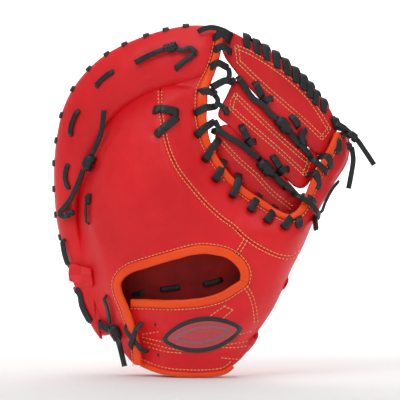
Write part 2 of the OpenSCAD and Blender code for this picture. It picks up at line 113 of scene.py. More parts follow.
def even(points, step=None, count=None):
    """The smooth curve through points, in equal steps."""
    fine = spline(points, 24 * len(points)) if len(points) > 2 else np.asarray(points, float)
    run = np.concatenate([[0], np.cumsum(np.linalg.norm(np.diff(fine, axis=0), axis=1))])
    count = count or max(2, int(round(run[-1] / step)) + 1)
    t = np.linspace(0, run[-1], count)
    return np.stack([np.interp(t, run, fine[:, k]) for k in range(fine.shape[1])], 1)


def unit(v):
    return v / np.maximum(np.linalg.norm(v, axis=-1, keepdims=True), 1e-9)


def tangents(p):
    return unit(np.gradient(np.asarray(p, float), axis=0))


def beside(points, d, step=2.0):
    """A line d to the left of the smooth curve through points (X, Z), as it runs."""
    p = even(points, step)
    t = tangents(p)
    return p + d * np.stack([-t[:, 1], t[:, 0]], 1)


def distance(x, z, line):
    """Distance of each (x, z) from a line of points (X, Z)."""
    line = np.asarray(line, float)
    flat = np.stack([np.ravel(x), np.ravel(z)], 1)
    best = np.full(len(flat), 1e9)
    for a, b in zip(line[:-1], line[1:]):
        ab = b - a
        t = np.clip(((flat - a) @ ab) / max(ab @ ab, 1e-9), 0, 1)
        best = np.minimum(best, np.linalg.norm(flat - a - t[:, None] * ab, axis=1))
    return best.reshape(np.shape(x))


def smooth(v):
    c = np.clip(v, 0, 1)
    return c * c * (3 - 2 * c)


def shoulder(d, r):
    """The quarter round of an edge: 0 at the edge, 1 from r inwards."""
    return np.sqrt(1 - (1 - np.clip(d / r, 0, 1)) ** 2)


def bumps(x, z, size, seed):
    """Smooth random height from -1 to 1."""
    flat = np.array([noise.noise(Vector((a / size, b / size, seed)))
                     for a, b in zip(np.ravel(x), np.ravel(z))])
    return flat.reshape(np.shape(x)) * 1.6


# ---------------------------------------------------------------- the frame's own surfaces
def fold_x(z):
    return FOLD_AT[0] + (np.asarray(z, float) - FOLD_AT[2]) * FOLD_SLOPE


def palm_y(x, z):
    u = x - fold_x(z)
    rise = np.where(u < 0, 62 / 170 ** 2, 58 / 121 ** 2)
    return 16 + rise * u * u + 0.0005 * (z - 80) ** 2


def fill(x, z):
    a = 95 + 0.35 * np.minimum(0, z)
    f = np.sqrt(np.maximum(0, 1 - ((x + 5) / a) ** 2 - (np.maximum(0, z - 55) / 127) ** 2))
    dx, dz = x - 105, z - 45
    c, s = math.cos(math.radians(56)), math.sin(math.radians(56))
    t = np.sqrt(np.maximum(0, 1 - ((dx * c + dz * s) / 110) ** 2 - ((dz * c - dx * s) / 52) ** 2))
    web = (np.hypot(x - WEB_CENTRE[0], z - WEB_CENTRE[1]) - WEB_R) / 40
    return (f ** 3 + (0.85 * t) ** 3) ** (1 / 3) * smooth(web)


def cad_back(x, z):
    return palm_y(x, z) - 22 - 30 * fill(x, z)


# ---------------------------------------------------------------- the visible faces
rim_crease = even(RIM_IN, 3)
thumb_edge = even(THUMB_OUT, 3)
seam_line = even(SEAM + THUMB_SEAM, 3)


def back(x, z):
    """The outside of the back leather: rounded off at the thumb's edge, tucked in at the rim."""
    deep = 10 - 6 * smooth((x + 45) / 45)
    y = cad_back(x, z) + deep * (1 - smooth(distance(x, z, rim_crease) / 20)) ** 1.5
    middle = palm_y(x, z) - 11
    y = middle + (y - middle) * shoulder(distance(x, z, thumb_edge), 20)
    return y + 0.9 * np.exp(-(distance(x, z, seam_line) / 1.6) ** 2)


def palm(x, z):
    return palm_y(x, z)


def liner(x, z):
    return palm_y(x, z) - 16


def post(x, z):
    return palm_y(x, z) - 13


def strap(x, z):
    full = cad_back(x, z)
    sewn = full + (back(x, z) - full) * smooth((x - 46) / 14)
    return sewn + 0.6 + 8 * smooth((-8 - x) / 24)


def normal(face, x, z, outward=-1):
    """Unit normals of a face y(x, z); outward is the sign of their Y."""
    fx = (face(x + 0.5, z) - face(x - 0.5, z))
    fz = (face(x, z + 0.5) - face(x, z - 0.5))
    return unit(np.stack([fx, -np.ones_like(fx), fz], -1)) * (-outward)


def on(face, line, lift=0.0, outward=-1):
    """Points (X, Z) laid on a face and lifted off it, with the normals there."""
    p = np.asarray(line, float)
    x, z = p[:, 0], p[:, 1]
    n = normal(face, x, z, outward)
    return np.stack([x, face(x, z), z], 1) + n * lift, n


# ---------------------------------------------------------------- mesh making
class Build:
    """Collects points and faces, then makes one piece of them."""

    def __init__(self):
        self.points, self.faces = [], []

    def add(self, points, faces):
        start = sum(len(p) for p in self.points)
        self.points.append(np.asarray(points, float).reshape(-1, 3))
        self.faces += [tuple(start + i for i in f) for f in faces]

    def grid(self, p, around=False, ends=False, outward=None):
        """A sheet of points, n by m; around joins its last column to its first."""
        n, m = p.shape[:2]
        at = lambda i, j: i * m + j % m
        faces = [(at(i, j), at(i, j + 1), at(i + 1, j + 1), at(i + 1, j))
                 for i in range(n - 1) for j in range(m if around else m - 1)]
        if ends:
            faces += [tuple(range(m - 1, -1, -1)), tuple((n - 1) * m + j for j in range(m))]
        if outward is not None:
            i, j = n // 2, m // 2
            face = np.cross(p[i, j + 1] - p[i, j], p[i + 1, j] - p[i, j])
            if face @ np.asarray(outward, float) < 0:
                faces = [f[::-1] for f in faces]
        self.add(p, faces)

    def sweep(self, centres, side, up, section, ends=True, scale=None):
        """A section of (side, up) offsets carried along centres."""
        s = np.asarray(section, float)
        k = np.ones(len(centres)) if scale is None else scale
        p = (centres[:, None] + side[:, None] * (s[:, 0] * k[:, None])[..., None]
             + up[:, None] * (s[:, 1] * k[:, None])[..., None])
        self.grid(p, around=True, ends=ends)

    def piece(self, name, material, slot=None, smooth_shade=True):
        mesh = bpy.data.meshes.new(name)
        points = np.concatenate(self.points) * MM
        mesh.from_pydata(points.tolist(), [], self.faces)
        mesh.materials.append(material)
        mesh.polygons.foreach_set("use_smooth", [smooth_shade] * len(mesh.polygons))
        mesh.update()
        o = bpy.data.objects.new(name, mesh)
        bpy.context.scene.collection.objects.link(o)
        return o


def subdivide(o, levels=1):
    m = o.modifiers.new("smooth", "SUBSURF")
    m.levels = m.render_levels = levels
    return o


def thicken(o, thickness, levels=1):
    """Gives a sheet its thickness, inwards from its outer face, and rounds its edges."""
    m = o.modifiers.new("thick", "SOLIDIFY")
    m.thickness = thickness * MM
    m.offset = -1
    return subdivide(o, levels)


def fold_blend(o):
    """Bakes the piece's transform into its mesh."""
    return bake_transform(o)


def ring_section(w, t, power=2.6, count=12):
    """A flattened round section."""
    a = np.linspace(0, 2 * math.pi, count, endpoint=False)
    c, s = np.cos(a), np.sin(a)
    return np.stack([np.sign(c) * np.abs(c) ** (2 / power) * w / 2,
                     np.sign(s) * np.abs(s) ** (2 / power) * t / 2], 1)


LACE_SECTION = ring_section(LACE_W, LACE_T, 4.0, 12)


def lace(build, points, sides, w=1.0):
    """One flat lace. Its ends close in a little."""
    p = np.asarray(points, float)
    t = tangents(p)
    s = unit(sides - t * np.sum(t * sides, axis=1, keepdims=True))
    up = np.cross(s, t)
    k = np.full(len(p), w)
    k[[0, -1]] *= 0.8
    build.sweep(p, s, up, LACE_SECTION, scale=k)


def laid_lace(build, line, face, over=0.0, dive=(1, 1), step=1.6, outward=-1, w=1.0):
    """A lace laid on a face; dive says which ends go down into the leather."""
    flat = even(line, step)
    p, n = on(face, flat, LACE_T / 2 + over, outward)
    run = np.linspace(0, 1, len(p)) * (len(p) - 1) * step
    for end, r in zip(dive, (run, run[::-1])):
        if end:
            p = p - n * ((over + LACE_T * 1.5) * (1 - smooth(r / (2.6 + over))))[:, None]
    lace(build, p, np.cross(tangents(p), n), w)


def span_lace(build, points, side=None, step=1.4, w=1.0):
    """A lace through points in space, all its width along one side vector."""
    p = even(points, step)
    if side is None:
        d = p[-1] - p[0]
        side = np.array([-d[2], 0, d[0]])
    lace(build, p, np.repeat(unit(np.asarray(side, float))[None], len(p), 0), w)


def knot(build, at, along, up, size=1.0):
    """A lace pulled tight: two turns round its own end."""
    along, up = unit(np.asarray(along, float)), unit(np.asarray(up, float))
    side = np.cross(along, up)
    for turn in (-1, 1):
        a = np.linspace(0, 2 * math.pi, 15)
        r = 3.3 * size
        c = (np.asarray(at, float) + along * turn * 2.0 * size
             + side * (np.cos(a) * r)[:, None] + up * (np.sin(a) * r * 0.8)[:, None]
             + along * (np.sin(a + turn) * 1.3 * size)[:, None])
        lace(build, c, np.repeat(along[None], len(c), 0), 0.8 * size)
    a = np.linspace(-1, 1, 9)[:, None]
    lace(build, np.asarray(at, float) + along * a * 5.5 * size + up * (2.6 - 2.2 * a * a) * size,
         np.repeat(side[None], 9, 0), 0.8 * size)


def stitches(build, line, face, lift=0.15, outward=-1, pitch=3.5, length=2.6, r=0.42):
    """A row of thread stitches along a line on a face."""
    run = even(line, pitch)
    p, n = on(face, run, lift, outward)
    t = tangents(p)
    a = np.linspace(0, 2 * math.pi, 6, endpoint=False)
    section = np.stack([np.cos(a), np.sin(a)], 1) * r
    for c, d, u in zip(p, t, n):
        f = np.array([-0.5, -0.4, 0, 0.4, 0.5])
        centres = c + d * (f * length)[:, None] - u * (np.abs(f) ** 3 * 4 * r)[:, None]
        build.sweep(centres, np.repeat(np.cross(d, u)[None], 5, 0), np.repeat(u[None], 5, 0),
                    section, scale=np.array([0.3, 0.9, 1, 0.9, 0.3]))


# ---------------------------------------------------------------- materials
def node(tree, kind, **values):
    n = tree.nodes.new(kind)
    for key, value in values.items():
        if key in n.inputs:
            n.inputs[key].default_value = value
        else:
            setattr(n, key, value)
    return n


def texture(tree, kind, scale, **values):
    n = node(tree, kind, Scale=scale, **values)
    tree.links.new(tree.nodes["where"].outputs["Object"], n.inputs["Vector"])
    return n


def ramp(tree, source, stops):
    r = node(tree, "ShaderNodeValToRGB")
    while len(r.color_ramp.elements) < len(stops):
        r.color_ramp.elements.new(0.5)
    for e, (at, colour) in zip(r.color_ramp.elements, stops):
        e.position = at
        e.color = (*colour, 1)
    tree.links.new(source, r.inputs[0])
    return r.outputs[0]


def span(tree, source, low, high, start=0.3, end=0.7):
    m = node(tree, "ShaderNodeMapRange")
    for key, value in zip(("From Min", "From Max", "To Min", "To Max"), (start, end, low, high)):
        m.inputs[key].default_value = value
    tree.links.new(source, m.inputs["Value"])
    return m.outputs["Result"]


def bump(tree, height, strength, distance, under=None):
    b = node(tree, "ShaderNodeBump", Strength=strength, Distance=distance)
    tree.links.new(height, b.inputs["Height"])
    if under is not None:
        tree.links.new(under, b.inputs["Normal"])
    return b.outputs["Normal"]


def surface(name, **values):
    """A new material with a Principled shader and object coordinates."""
    m = bpy.data.materials.new(name)
    m.use_nodes = True
    tree = m.node_tree
    shader = tree.nodes["Principled BSDF"]
    for key, value in values.items():
        shader.inputs[key.replace("_", " ")].default_value = value
    node(tree, "ShaderNodeTexCoord", name="where")
    return m, tree, shader


def leather(name, light, dark, rough=0.42, grain=0.35, creases=0.25, cell=900, **values):
    """Leather: pebbled grain, pores, soft creases, and colour that varies over the hide."""
    m, tree, shader = surface(name, **values)
    hide = texture(tree, "ShaderNodeTexNoise", 16, Detail=4.0, Roughness=0.55)
    middle = tuple((a + b) / 2 for a, b in zip(light, dark))
    colour = ramp(tree, hide.outputs["Fac"], [(0.32, dark), (0.5, middle), (0.66, light)])
    tree.links.new(colour, shader.inputs["Base Color"])
    scuff = texture(tree, "ShaderNodeTexNoise", 60, Detail=6.0, Roughness=0.65)
    tree.links.new(span(tree, scuff.outputs["Fac"], rough - 0.07, rough + 0.1),
                   shader.inputs["Roughness"])
    crease = texture(tree, "ShaderNodeTexNoise", 110, Detail=5.0, Roughness=0.6, Distortion=0.6)
    pebble = texture(tree, "ShaderNodeTexVoronoi", cell, feature="SMOOTH_F1")
    pore = texture(tree, "ShaderNodeTexNoise", cell * 2.4, Detail=2.0)
    n = bump(tree, crease.outputs["Fac"], creases, 0.0012)
    n = bump(tree, pebble.outputs["Distance"], grain, 0.0003, n)
    n = bump(tree, pore.outputs["Fac"], grain * 0.6, 0.0002, n)
    tree.links.new(n, shader.inputs["Normal"])
    return m


def cloth(name, light, dark, fibre, rough, depth=0.0006, **values):
    """Felt, suede or thread: short fibres of two shades."""
    m, tree, shader = surface(name, Roughness=rough, **values)
    nap = texture(tree, "ShaderNodeTexNoise", fibre, Detail=5.0, Roughness=0.7)
    patch = texture(tree, "ShaderNodeTexNoise", fibre / 22, Detail=2.0)
    mix = node(tree, "ShaderNodeMath", operation="MULTIPLY_ADD")
    mix.inputs[1].default_value = 0.5
    tree.links.new(nap.outputs["Fac"], mix.inputs[0])
    half = node(tree, "ShaderNodeMath", operation="MULTIPLY")
    half.inputs[1].default_value = 0.5
    tree.links.new(patch.outputs["Fac"], half.inputs[0])
    tree.links.new(half.outputs[0], mix.inputs[2])
    tree.links.new(ramp(tree, mix.outputs[0], [(0.38, dark), (0.6, light)]),
                   shader.inputs["Base Color"])
    tree.links.new(bump(tree, nap.outputs["Fac"], 0.6, depth), shader.inputs["Normal"])
    return m


def satin(name, light, dark, angle):
    """Embroidery: rows of shiny thread that run one way."""
    m, tree, shader = surface(name, Roughness=0.34, Sheen_Weight=0.3, Anisotropic=0.4)
    turn = node(tree, "ShaderNodeMapping")
    turn.inputs["Rotation"].default_value = (0, math.radians(angle), 0)
    tree.links.new(tree.nodes["where"].outputs["Object"], turn.inputs["Vector"])
    rows = node(tree, "ShaderNodeTexWave", Scale=520.0, Distortion=1.5, Detail=2.0)
    rows.inputs["Detail Scale"].default_value = 3.0
    tree.links.new(turn.outputs[0], rows.inputs["Vector"])
    tree.links.new(ramp(tree, rows.outputs["Fac"], [(0.1, dark), (0.8, light)]),
                   shader.inputs["Base Color"])
    tree.links.new(bump(tree, rows.outputs["Fac"], 0.5, 0.0004), shader.inputs["Normal"])
    return m


red = leather("red_back_leather", (0.84, 0.011, 0.017), (0.70, 0.006, 0.012), rough=0.44,
              Specular_IOR_Level=0.34, Coat_Weight=0.05, Coat_Roughness=0.35)
palm_red = leather("red_palm_leather", (0.80, 0.010, 0.015), (0.63, 0.006, 0.011), rough=0.46,
                   creases=0.4, cell=1100, Specular_IOR_Level=0.34, Coat_Weight=0.04,
                   Coat_Roughness=0.4)
orange = leather("orange_binding_leather", (1.0, 0.085, 0.004), (0.90, 0.055, 0.003), rough=0.42,
                 grain=0.25, creases=0.3, Specular_IOR_Level=0.34, Coat_Weight=0.05,
                 Coat_Roughness=0.35)
black = leather("black_waxed_lace", (0.016, 0.021, 0.024), (0.006, 0.008, 0.010), rough=0.4,
                grain=0.5, creases=0.5, cell=1400, Specular_IOR_Level=0.4, Coat_Weight=0.08,
                Coat_Roughness=0.3)
suede = cloth("dark_red_lining", (0.48, 0.014, 0.011), (0.26, 0.008, 0.007), 900, 0.85,
              Sheen_Weight=0.25, Sheen_Roughness=0.4)
loop_red = leather("matt_loop_leather", (0.46, 0.022, 0.022), (0.32, 0.012, 0.014), rough=0.6)
felt = cloth("pale_felt", (0.78, 0.72, 0.58), (0.58, 0.52, 0.40), 700, 0.95, Sheen_Weight=0.3)
thread = cloth("gold_thread", (0.93, 0.62, 0.24), (0.74, 0.40, 0.12), 2600, 0.5, 0.0002,
               Sheen_Weight=0.2)
black_satin = satin("black_satin_thread", (0.018, 0.016, 0.018), (0.004, 0.004, 0.005), 20)
pink_satin = satin("rose_satin_thread", (0.70, 0.075, 0.10), (0.48, 0.03, 0.05), 65)
grey_satin = satin("grey_satin_thread", (0.30, 0.22, 0.25), (0.16, 0.10, 0.13), 30)


def finish(o, nodes, body=None, pad=None):
    """Puts a piece on its body, or else bakes its transform, and hides the CAD solids it stands in for."""
    if body:
        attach(o, body)
    else:
        fold_blend(o)
    if nodes:
        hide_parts(*nodes)
    return o


# ---------------------------------------------------------------- camera
camera = bpy.data.objects.new("camera", bpy.data.cameras.new("camera"))
camera.data.lens = 250
camera.data.sensor_width = 36
camera.data.clip_end = 20
camera.location = (0.019, -2.64, 0.073)
camera.rotation_euler = (math.radians(90), 0, 0)
bpy.context.scene.collection.objects.link(camera)
bpy.context.scene.camera = camera


# ---------------------------------------------------------------- free ends of the laces
def rim_face(x, z):
    return palm_y(x, z) - 25.5


def free_end(name, route, nodes, body=FINGER):
    """A stiff flat lace end that stands off the leather, cut square."""
    path = even(route, count=24)
    t = tangents(path)
    side = unit(np.cross(t, [0, -1.0, 0]))
    b = Build()
    wave = np.sin(np.linspace(0, 1, len(path)) * 9) * 0.25
    s = unit(side + np.cross(t, side) * wave[:, None])
    b.sweep(path, s, np.cross(s, t), LACE_SECTION)
    o = b.piece(name, black, "lace")
    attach(o, body)
    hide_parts(*nodes)
    return o


def lifted(route, lifts, face=rim_face):
    return [(x, float(face(np.float64(x), np.float64(z))) - up, z)
            for (x, z), up in zip(route, lifts)]


free_end("top_lace_end", lifted([(-13, 217), (-20, 214.5), (-30, 210.5), (-43, 204)],
                                [5.0, 5.5, 5.5, 5.0]), ["top_lace_tail"])
free_end("side_lace_end", lifted([(-86, 115), (-81, 124), (-75, 140), (-73, 159)],
                                 [6.0, 8.0, 8.5, 7.0]), ["side_lace_tail"])
free_end("heel_lace_end", lifted([(-62, -56), (-58, -66), (-53, -86)], [5.5, 4.5, 3.5],
                                 lambda x, z: np.minimum(rim_face(x, z), back(x, z))),
         ["heel_lace_tail"])
free_end("thumb_lace_end_upper", [(167, 38, 135), (172, 38, 129), (179, 39, 119), (187, 41, 107)],
         ["thumb_lace_tail_a"], THUMB)
free_end("thumb_lace_end_lower", [(165, 35, 124), (166.5, 34, 112), (165, 34, 100), (162, 35, 84)],
         ["thumb_lace_tail_b"], THUMB)


# ---------------------------------------------------------------- lacing, as (X, Z) on the mitt
RIM_DASHES = [[(-82, 181), (-73, 190), (-63, 197)], [(-106, 134), (-104, 147), (-98, 160)],
              [(-108, 83), (-110.5, 96), (-108, 109)]]
SEAM_V = [[(-26, 158), (-14, 158.5), (-1, 155.5)], [(-23, 134), (-14, 141.5), (-2, 152.5)]]
FINGER_TURNS = [[(32, 227), (40, 232), (48, 225)], [(32, 215), (40, 219), (49, 214)],
                [(27, 198), (36, 203), (46, 199)], [(30, 180), (42, 186), (51, 186)],
                [(17, 175), (25, 176.5), (35, 174)], [(14, 155), (23, 160), (33, 162)],
                [(15, 134), (23, 141), (33, 148)], [(23, 110), (29, 120), (37, 131)],
                [(33, 91), (38, 100), (42, 111)], [(49, 76), (54, 86), (56, 98)],
                [(66, 63), (71, 71), (76, 78)], [(81, 53), (87, 60), (91, 67)],
                [(97, 47), (104, 55), (111, 61)], [(113, 47), (112.5, 55), (110, 60)]]
THUMB_TURNS = [[(129, 69), (124, 74), (116, 77)], [(133, 84), (130, 98), (122, 97)],
               [(145, 104), (142, 114), (133, 115)], [(152, 118), (152, 129), (145, 131)],
               [(159, 134), (158, 142), (150, 144)]]
TOP_EDGE = [(49, 235), (62, 228), (78, 221), (95, 210), (111, 198), (124, 186), (135, 174),
            (145, 162), (151, 148)]
EDGE_TURNS = [((63, 233), (64, 219)), ((72, 228), (74, 213)), ((81, 223), (83, 207)),
              ((91, 217), (93, 200)), ((100, 210), (103, 193)), ((110, 202), (111, 186)),
              ((118, 195), (118, 179)), ((125, 188), (124, 172)), ((131, 180), (130, 165)),
              ((138, 172), (138, 158))]

HOLES = [p for line in RIM_DASHES + SEAM_V for p in (line[0], line[-1])]
HOLES += [line[0] for line in FINGER_TURNS + THUMB_TURNS]


def dents(x, z, holes=HOLES, depth=1.4, r=4.0):
    """How far the lacing pulls the leather in."""
    d = np.zeros(np.shape(x))
    for a, b in holes:
        d = d + depth * np.exp(-((x - a) ** 2 + (z - b) ** 2) / r ** 2)
    return d


# ---------------------------------------------------------------- back of the mitt
def wrinkles(x, z, seed):
    """Soft waves in the leather, larger where nothing holds it."""
    long = bumps(x + 0.35 * z, z * 0.45, 34, seed) * 0.9
    return long + bumps(x, z, 13, seed + 5.0) * 0.28


def between(*stretches):
    """Two matched edges; each stretch is (edge a, edge b, count)."""
    a, b = [], []
    for i, (p, q, count) in enumerate(stretches):
        p, q = even(p, count=count), even(q, count=count)
        a.append(p[i > 0:])
        b.append(q[i > 0:])
    return np.concatenate(a), np.concatenate(b)


def sheet_grid(a, b, cols, face, extra=None):
    f = np.linspace(0, 1, cols)[None, :, None]
    flat = a[:, None] * (1 - f) + b[:, None] * f
    x, z = flat[..., 0], flat[..., 1]
    y = face(x, z)
    if extra is not None:
        y = y + extra(x, z)
    return np.stack([x, y, z], -1)


def panel(name, a, b, cols, face, thickness, material, slot, extra=None, outward=-1, levels=1):
    build = Build()
    build.grid(sheet_grid(a, b, cols, face, extra), outward=(0, outward, 0))
    return thicken(build.piece(name, material, slot), thickness, levels)


crease_in = even([(-19, 178), (-36, 171), (-52, 163), (-65, 151), (-75, 136), (-82, 122), (-89, 106),
                  (-95, 90), (-98.5, 75), (-99, 60), (-98, 46), (-94, 30), (-90, 15), (-86, -2),
                  (-80, -18), (-73, -35), (-61, -53), (-51, -69), (-40, -81)], 2)
finger_left = beside(crease_in, -5)


def heel_tuck(x, z):
    """The panel's left foot, which narrows and turns in round the heel."""
    return 10 * smooth((-30 - z) / 60) * smooth((-38 - x) / 30)


def back_detail(seed):
    def extra(x, z):
        return dents(x, z) + wrinkles(x, z, seed) * smooth(distance(x, z, seam_line) / 12)
    return extra


right_edge = even(SEAM[:-1] + [(44, 52), (52, 45.5), (58.5, 40)], count=90) + [0.3, 0.3]
lower_edge = even([(58.8, 40.3), (59, 31), (58.5, 24), (52, 24), (38, 28), (24, 29), (8, 27), (-12, 23),
                   (-30, 17), (-46, 10), (-57, 2), (-61, -8), (-58, -22), (-52, -40), (-47, -60), (-43, -84)],
                  count=100)
panel_b = np.concatenate([right_edge, lower_edge[1:]])
panel_a = even(finger_left, count=len(panel_b))
finger_panel = panel("finger_back_leather", panel_a, panel_b, 60, back, BACK_T, red,
                     "back_leather",
                     lambda x, z: back_detail(3.0)(x, z) + heel_tuck(x, z))
finish(finger_panel, ["back_finger_panel"])

upper_a, upper_b = between(
    ([(-19, 183), (-18, 157), (-15, 138), (-10, 119)], [(26, 197), (21, 178), (19, 166), (18, 156)], 36),
    ([(-10, 119), (-2, 102), (10, 86), (24, 70)], [(18, 156), (20, 142), (23, 130), (28, 119)], 30),
    ([(24, 70), (38, 57), (52, 46), (66, 35)], [(28, 119), (36, 106), (45, 95), (54, 85)], 30),
    ([(66, 35), (82, 26), (98, 20), (113.5, 20)], [(54, 85), (66, 76), (82, 66), (98, 58)], 28),
    ([(113.5, 20), (119.5, 32), (125, 45), (132.8, 62)], [(98, 58), (106, 56), (114, 61), (120, 71)], 26),
    ([(132.8, 62), (142, 78), (151, 92), (160, 105)], [(120, 71), (126, 86), (132, 99), (139, 112)], 26),
    ([(160, 105), (163.5, 114), (164.6, 127), (163, 139)],
     [(139, 112), (145, 122), (150, 131), (153, 139)], 22))
upper_panel = panel("upper_back_leather", upper_a, upper_b, 44, back, BACK_T, red, "back_leather",
                    back_detail(11.0))
finish(upper_panel, ["back_index_panel", "thumb_upper_panel"])

thumb_a, thumb_b = between(
    ([(57, 41.5), (56.5, 30), (56, 20), (59, 8)], [(57, 42.5), (70, 34.3), (84, 27.3), (98, 22.3)], 30),
    ([(59, 8), (60, 0), (63, -10), (66, -20)], [(98, 22.3), (104, 21.5), (109, 21), (114, 20.6)], 12),
    ([(66, -20), (68, -30), (69, -40), (69, -50)], [(114, 20.6), (106, 5), (97.5, -14), (90, -29.5)], 24),
    ([(69, -50), (68, -56), (66, -62)], [(90, -29.5), (82, -42), (69, -60)], 12))
thumb_back = panel("thumb_back_leather", thumb_a, thumb_b, 34, back, BACK_T, red, "back_leather",
                   lambda x, z: back_detail(17.0)(x, z) + 1.2)
finish(thumb_back, ["thumb_panel"])


# ---------------------------------------------------------------- rims and rolls
def roll(name, inner, outer, depth, material, slot, sides=28, centre=12.0, power=2.3, inset=0.0,
         extra=None, taper=(8, 8), least=0.15):
    """A padded roll between two outlines that follows the palm."""
    c, h = (inner + outer) / 2, (outer - inner) / 2
    run = np.concatenate([[0], np.cumsum(np.linalg.norm(np.diff(c, axis=0), axis=1))])
    close_in = [least + (1 - least) * shoulder(r, t) if t else np.ones(len(c))
                for r, t in zip((run, run[-1] - run), taper)]
    k = (close_in[0] * close_in[1])[:, None]
    wide = 1 - 0.3 * (1 - k)
    ang = np.linspace(0, 2 * math.pi, sides, endpoint=False)[None]
    cs, sn = np.cos(ang), np.sin(ang)
    cs = np.sign(cs) * np.abs(cs) ** (2 / power)
    sn = np.sign(sn) * np.abs(sn) ** (2 / power)
    w = np.linalg.norm(h, axis=1)[:, None] - inset
    flat = c[:, None] + unit(h)[:, None] * (w * wide * cs)[..., None]
    x, z = flat[..., 0], flat[..., 1]
    mid = palm_y(x, z) - centre
    y = mid + (depth / 2 - inset) * k * sn
    if extra is not None:
        y = y + extra(x, z) * (-sn).clip(0, 1)
    b = Build()
    b.grid(np.stack([x, y, z], -1), around=True, ends=True)
    return subdivide(b.piece(name, material, slot))


def rim_detail(x, z):
    fold = np.exp(-(distance(x, z, [(-28, 196), (-45, 186), (-58, 176)]) / 5) ** 2) * 2.2
    return dents(x, z) + wrinkles(x, z, 23.0) * 0.8 + fold


rim_count = 150
rim_inner = even(RIM_IN, count=rim_count)
rim_outer = even(RIM_OUT, count=rim_count)
rim_outer = rim_outer + unit(rim_outer - rim_inner) * 2.5
rim = roll("rim_band_leather", rim_inner, rim_outer, 27, red, "back_leather", 40, 12.0, 2.2,
           extra=rim_detail, taper=(14, 10), least=0.35)
finish(rim, ["rim_band"], pad=0.9)
rim_felt = roll("rim_felt", rim_inner[3:-3], rim_outer[3:-3], 19, felt, "felt", 16, 12.0, 2.2, 4.0)
finish(rim_felt, ["rim_pad"], pad=1.0)

thumb_count = 70
thumb_outer = even(THUMB_OUT, count=thumb_count)
thumb_t = tangents(thumb_outer)
thumb_inner = thumb_outer + 15 * np.stack([thumb_t[:, 1], -thumb_t[:, 0]], 1)
thumb_rim = roll("thumb_rim_leather", thumb_inner, thumb_outer, 22.5, red, "back_leather", 24, 11.0,
                 2.4, inset=1.8, taper=(8, 8))
finish(thumb_rim, ["thumb_rim_band"], pad=0.9)

heel_line = even([(-44, -58), (-42, -67), (-34, -75), (-12, -81), (16, -81), (38, -77), (54, -68),
                  (68, -54)], 2.5)
heel_t = tangents(heel_line)
heel_side = np.stack([-heel_t[:, 1], heel_t[:, 0]], 1)
heel = roll("heel_roll_leather", heel_line + heel_side * 11, heel_line - heel_side * 10, 25,
            palm_red, "palm_leather", 28, 12.0, 2.2, taper=(14, 14),
            extra=lambda x, z: wrinkles(x, z, 31.0))
finish(heel, ["heel_roll"], pad=0.9)


# ---------------------------------------------------------------- palm and insides
def palm_detail(x, z):
    """The pocket, its creases along the fold, and soft wrinkles."""
    u = x - fold_x(z)
    pocket = 3.0 * np.exp(-(u / 60) ** 2 - ((z - 70) / 70) ** 2)
    crease = sum(d * np.exp(-((u - at - lean * (z - 20) / 100) / 3.2) ** 2) * smooth((95 - z) / 60)
                 for at, d, lean in ((-4, 1.6, 6), (8, 1.2, -8), (-19, 0.8, 14)))
    return -pocket - crease + wrinkles(x, z, 41.0) * 0.8


palm_left = even(beside(RIM_IN, -6, 3)[2:], count=150)
web_right = even([(28, 188), (22, 176), (19, 164), (19, 153), (21, 142), (25, 130), (30, 119),
                  (38, 107), (47, 96), (56, 86), (66, 77), (80, 68), (93, 60), (104, 57), (113, 61),
                  (120, 71), (126, 86), (132, 99), (139, 111), (146, 124), (152, 137)], count=95)
thumb_right = even([(156, 138), (158, 122), (152, 106), (143, 92), (134, 78), (125, 62), (117, 45),
                    (110, 28), (102, 13), (94, -3), (87, -18), (80, -32), (70, -50), (56, -70)],
                   count=80)
heel_bottom = even([(56, -70), (38, -78), (16, -81), (-12, -81), (-40, -78), (-56, -70)], count=40)
palm_outline = np.concatenate([palm_left, heel_bottom[::-1][1:-1], thumb_right[::-1],
                               web_right[::-1][1:]])


def fill_outline(outline, step, face, extra=None, outward=1):
    """A sheet that fills a closed outline (X, Z) with even triangles."""
    lo, hi = outline.min(0), outline.max(0)
    gx, gz = np.meshgrid(np.arange(lo[0], hi[0], step), np.arange(lo[1], hi[1], step * 0.87))
    gx = gx + (np.arange(gx.shape[0]) % 2)[:, None] * step / 2
    p = np.stack([gx.ravel(), gz.ravel()], 1)
    nxt = np.roll(outline, -1, 0)
    inside = np.zeros(len(p), bool)
    for a, b in zip(outline, nxt):
        cond = (a[1] > p[:, 1]) != (b[1] > p[:, 1])
        cross = (b[0] - a[0]) * (p[:, 1] - a[1]) / (b[1] - a[1] + 1e-12) + a[0]
        inside ^= cond & (p[:, 0] < cross)
    near = distance(p[:, 0], p[:, 1], np.concatenate([outline, outline[:1]]))
    p = p[inside & (near > step * 0.45)]
    n = len(outline)
    points = np.concatenate([outline, p])
    edges = [(i, (i + 1) % n) for i in range(n)]
    verts, _, faces, *_ = delaunay_2d_cdt([Vector(q) for q in points], edges,
                                          [list(range(n))], 1, 1e-4)
    flat = np.array([v[:] for v in verts])
    x, z = flat[:, 0], flat[:, 1]
    y = face(x, z)
    if extra is not None:
        y = y + extra(x, z)
    a, b, c = faces[len(faces) // 2][:3]
    q = np.stack([x, y, z], 1)
    if np.cross(q[b] - q[a], q[c] - q[a])[1] * outward < 0:
        faces = [f[::-1] for f in faces]
    return q, faces


def filled(name, outline, step, face, thickness, material, slot, extra=None, outward=1, levels=1):
    b = Build()
    b.add(*fill_outline(outline, step, face, extra, outward))
    return thicken(b.piece(name, material, slot), thickness, levels)


web_line = np.concatenate([even(WEB_EDGE_F[4:], 2), even(WEB_EDGE_T, 2)])
palm_web = np.concatenate([[(28, 188)], web_line])


def palm_face(x, z):
    """The palm's outer face, rolled over towards the back along the web's edge."""
    edge = shoulder(distance(x, z, palm_web), 9)
    return palm_y(x, z) - 14 * (1 - edge)


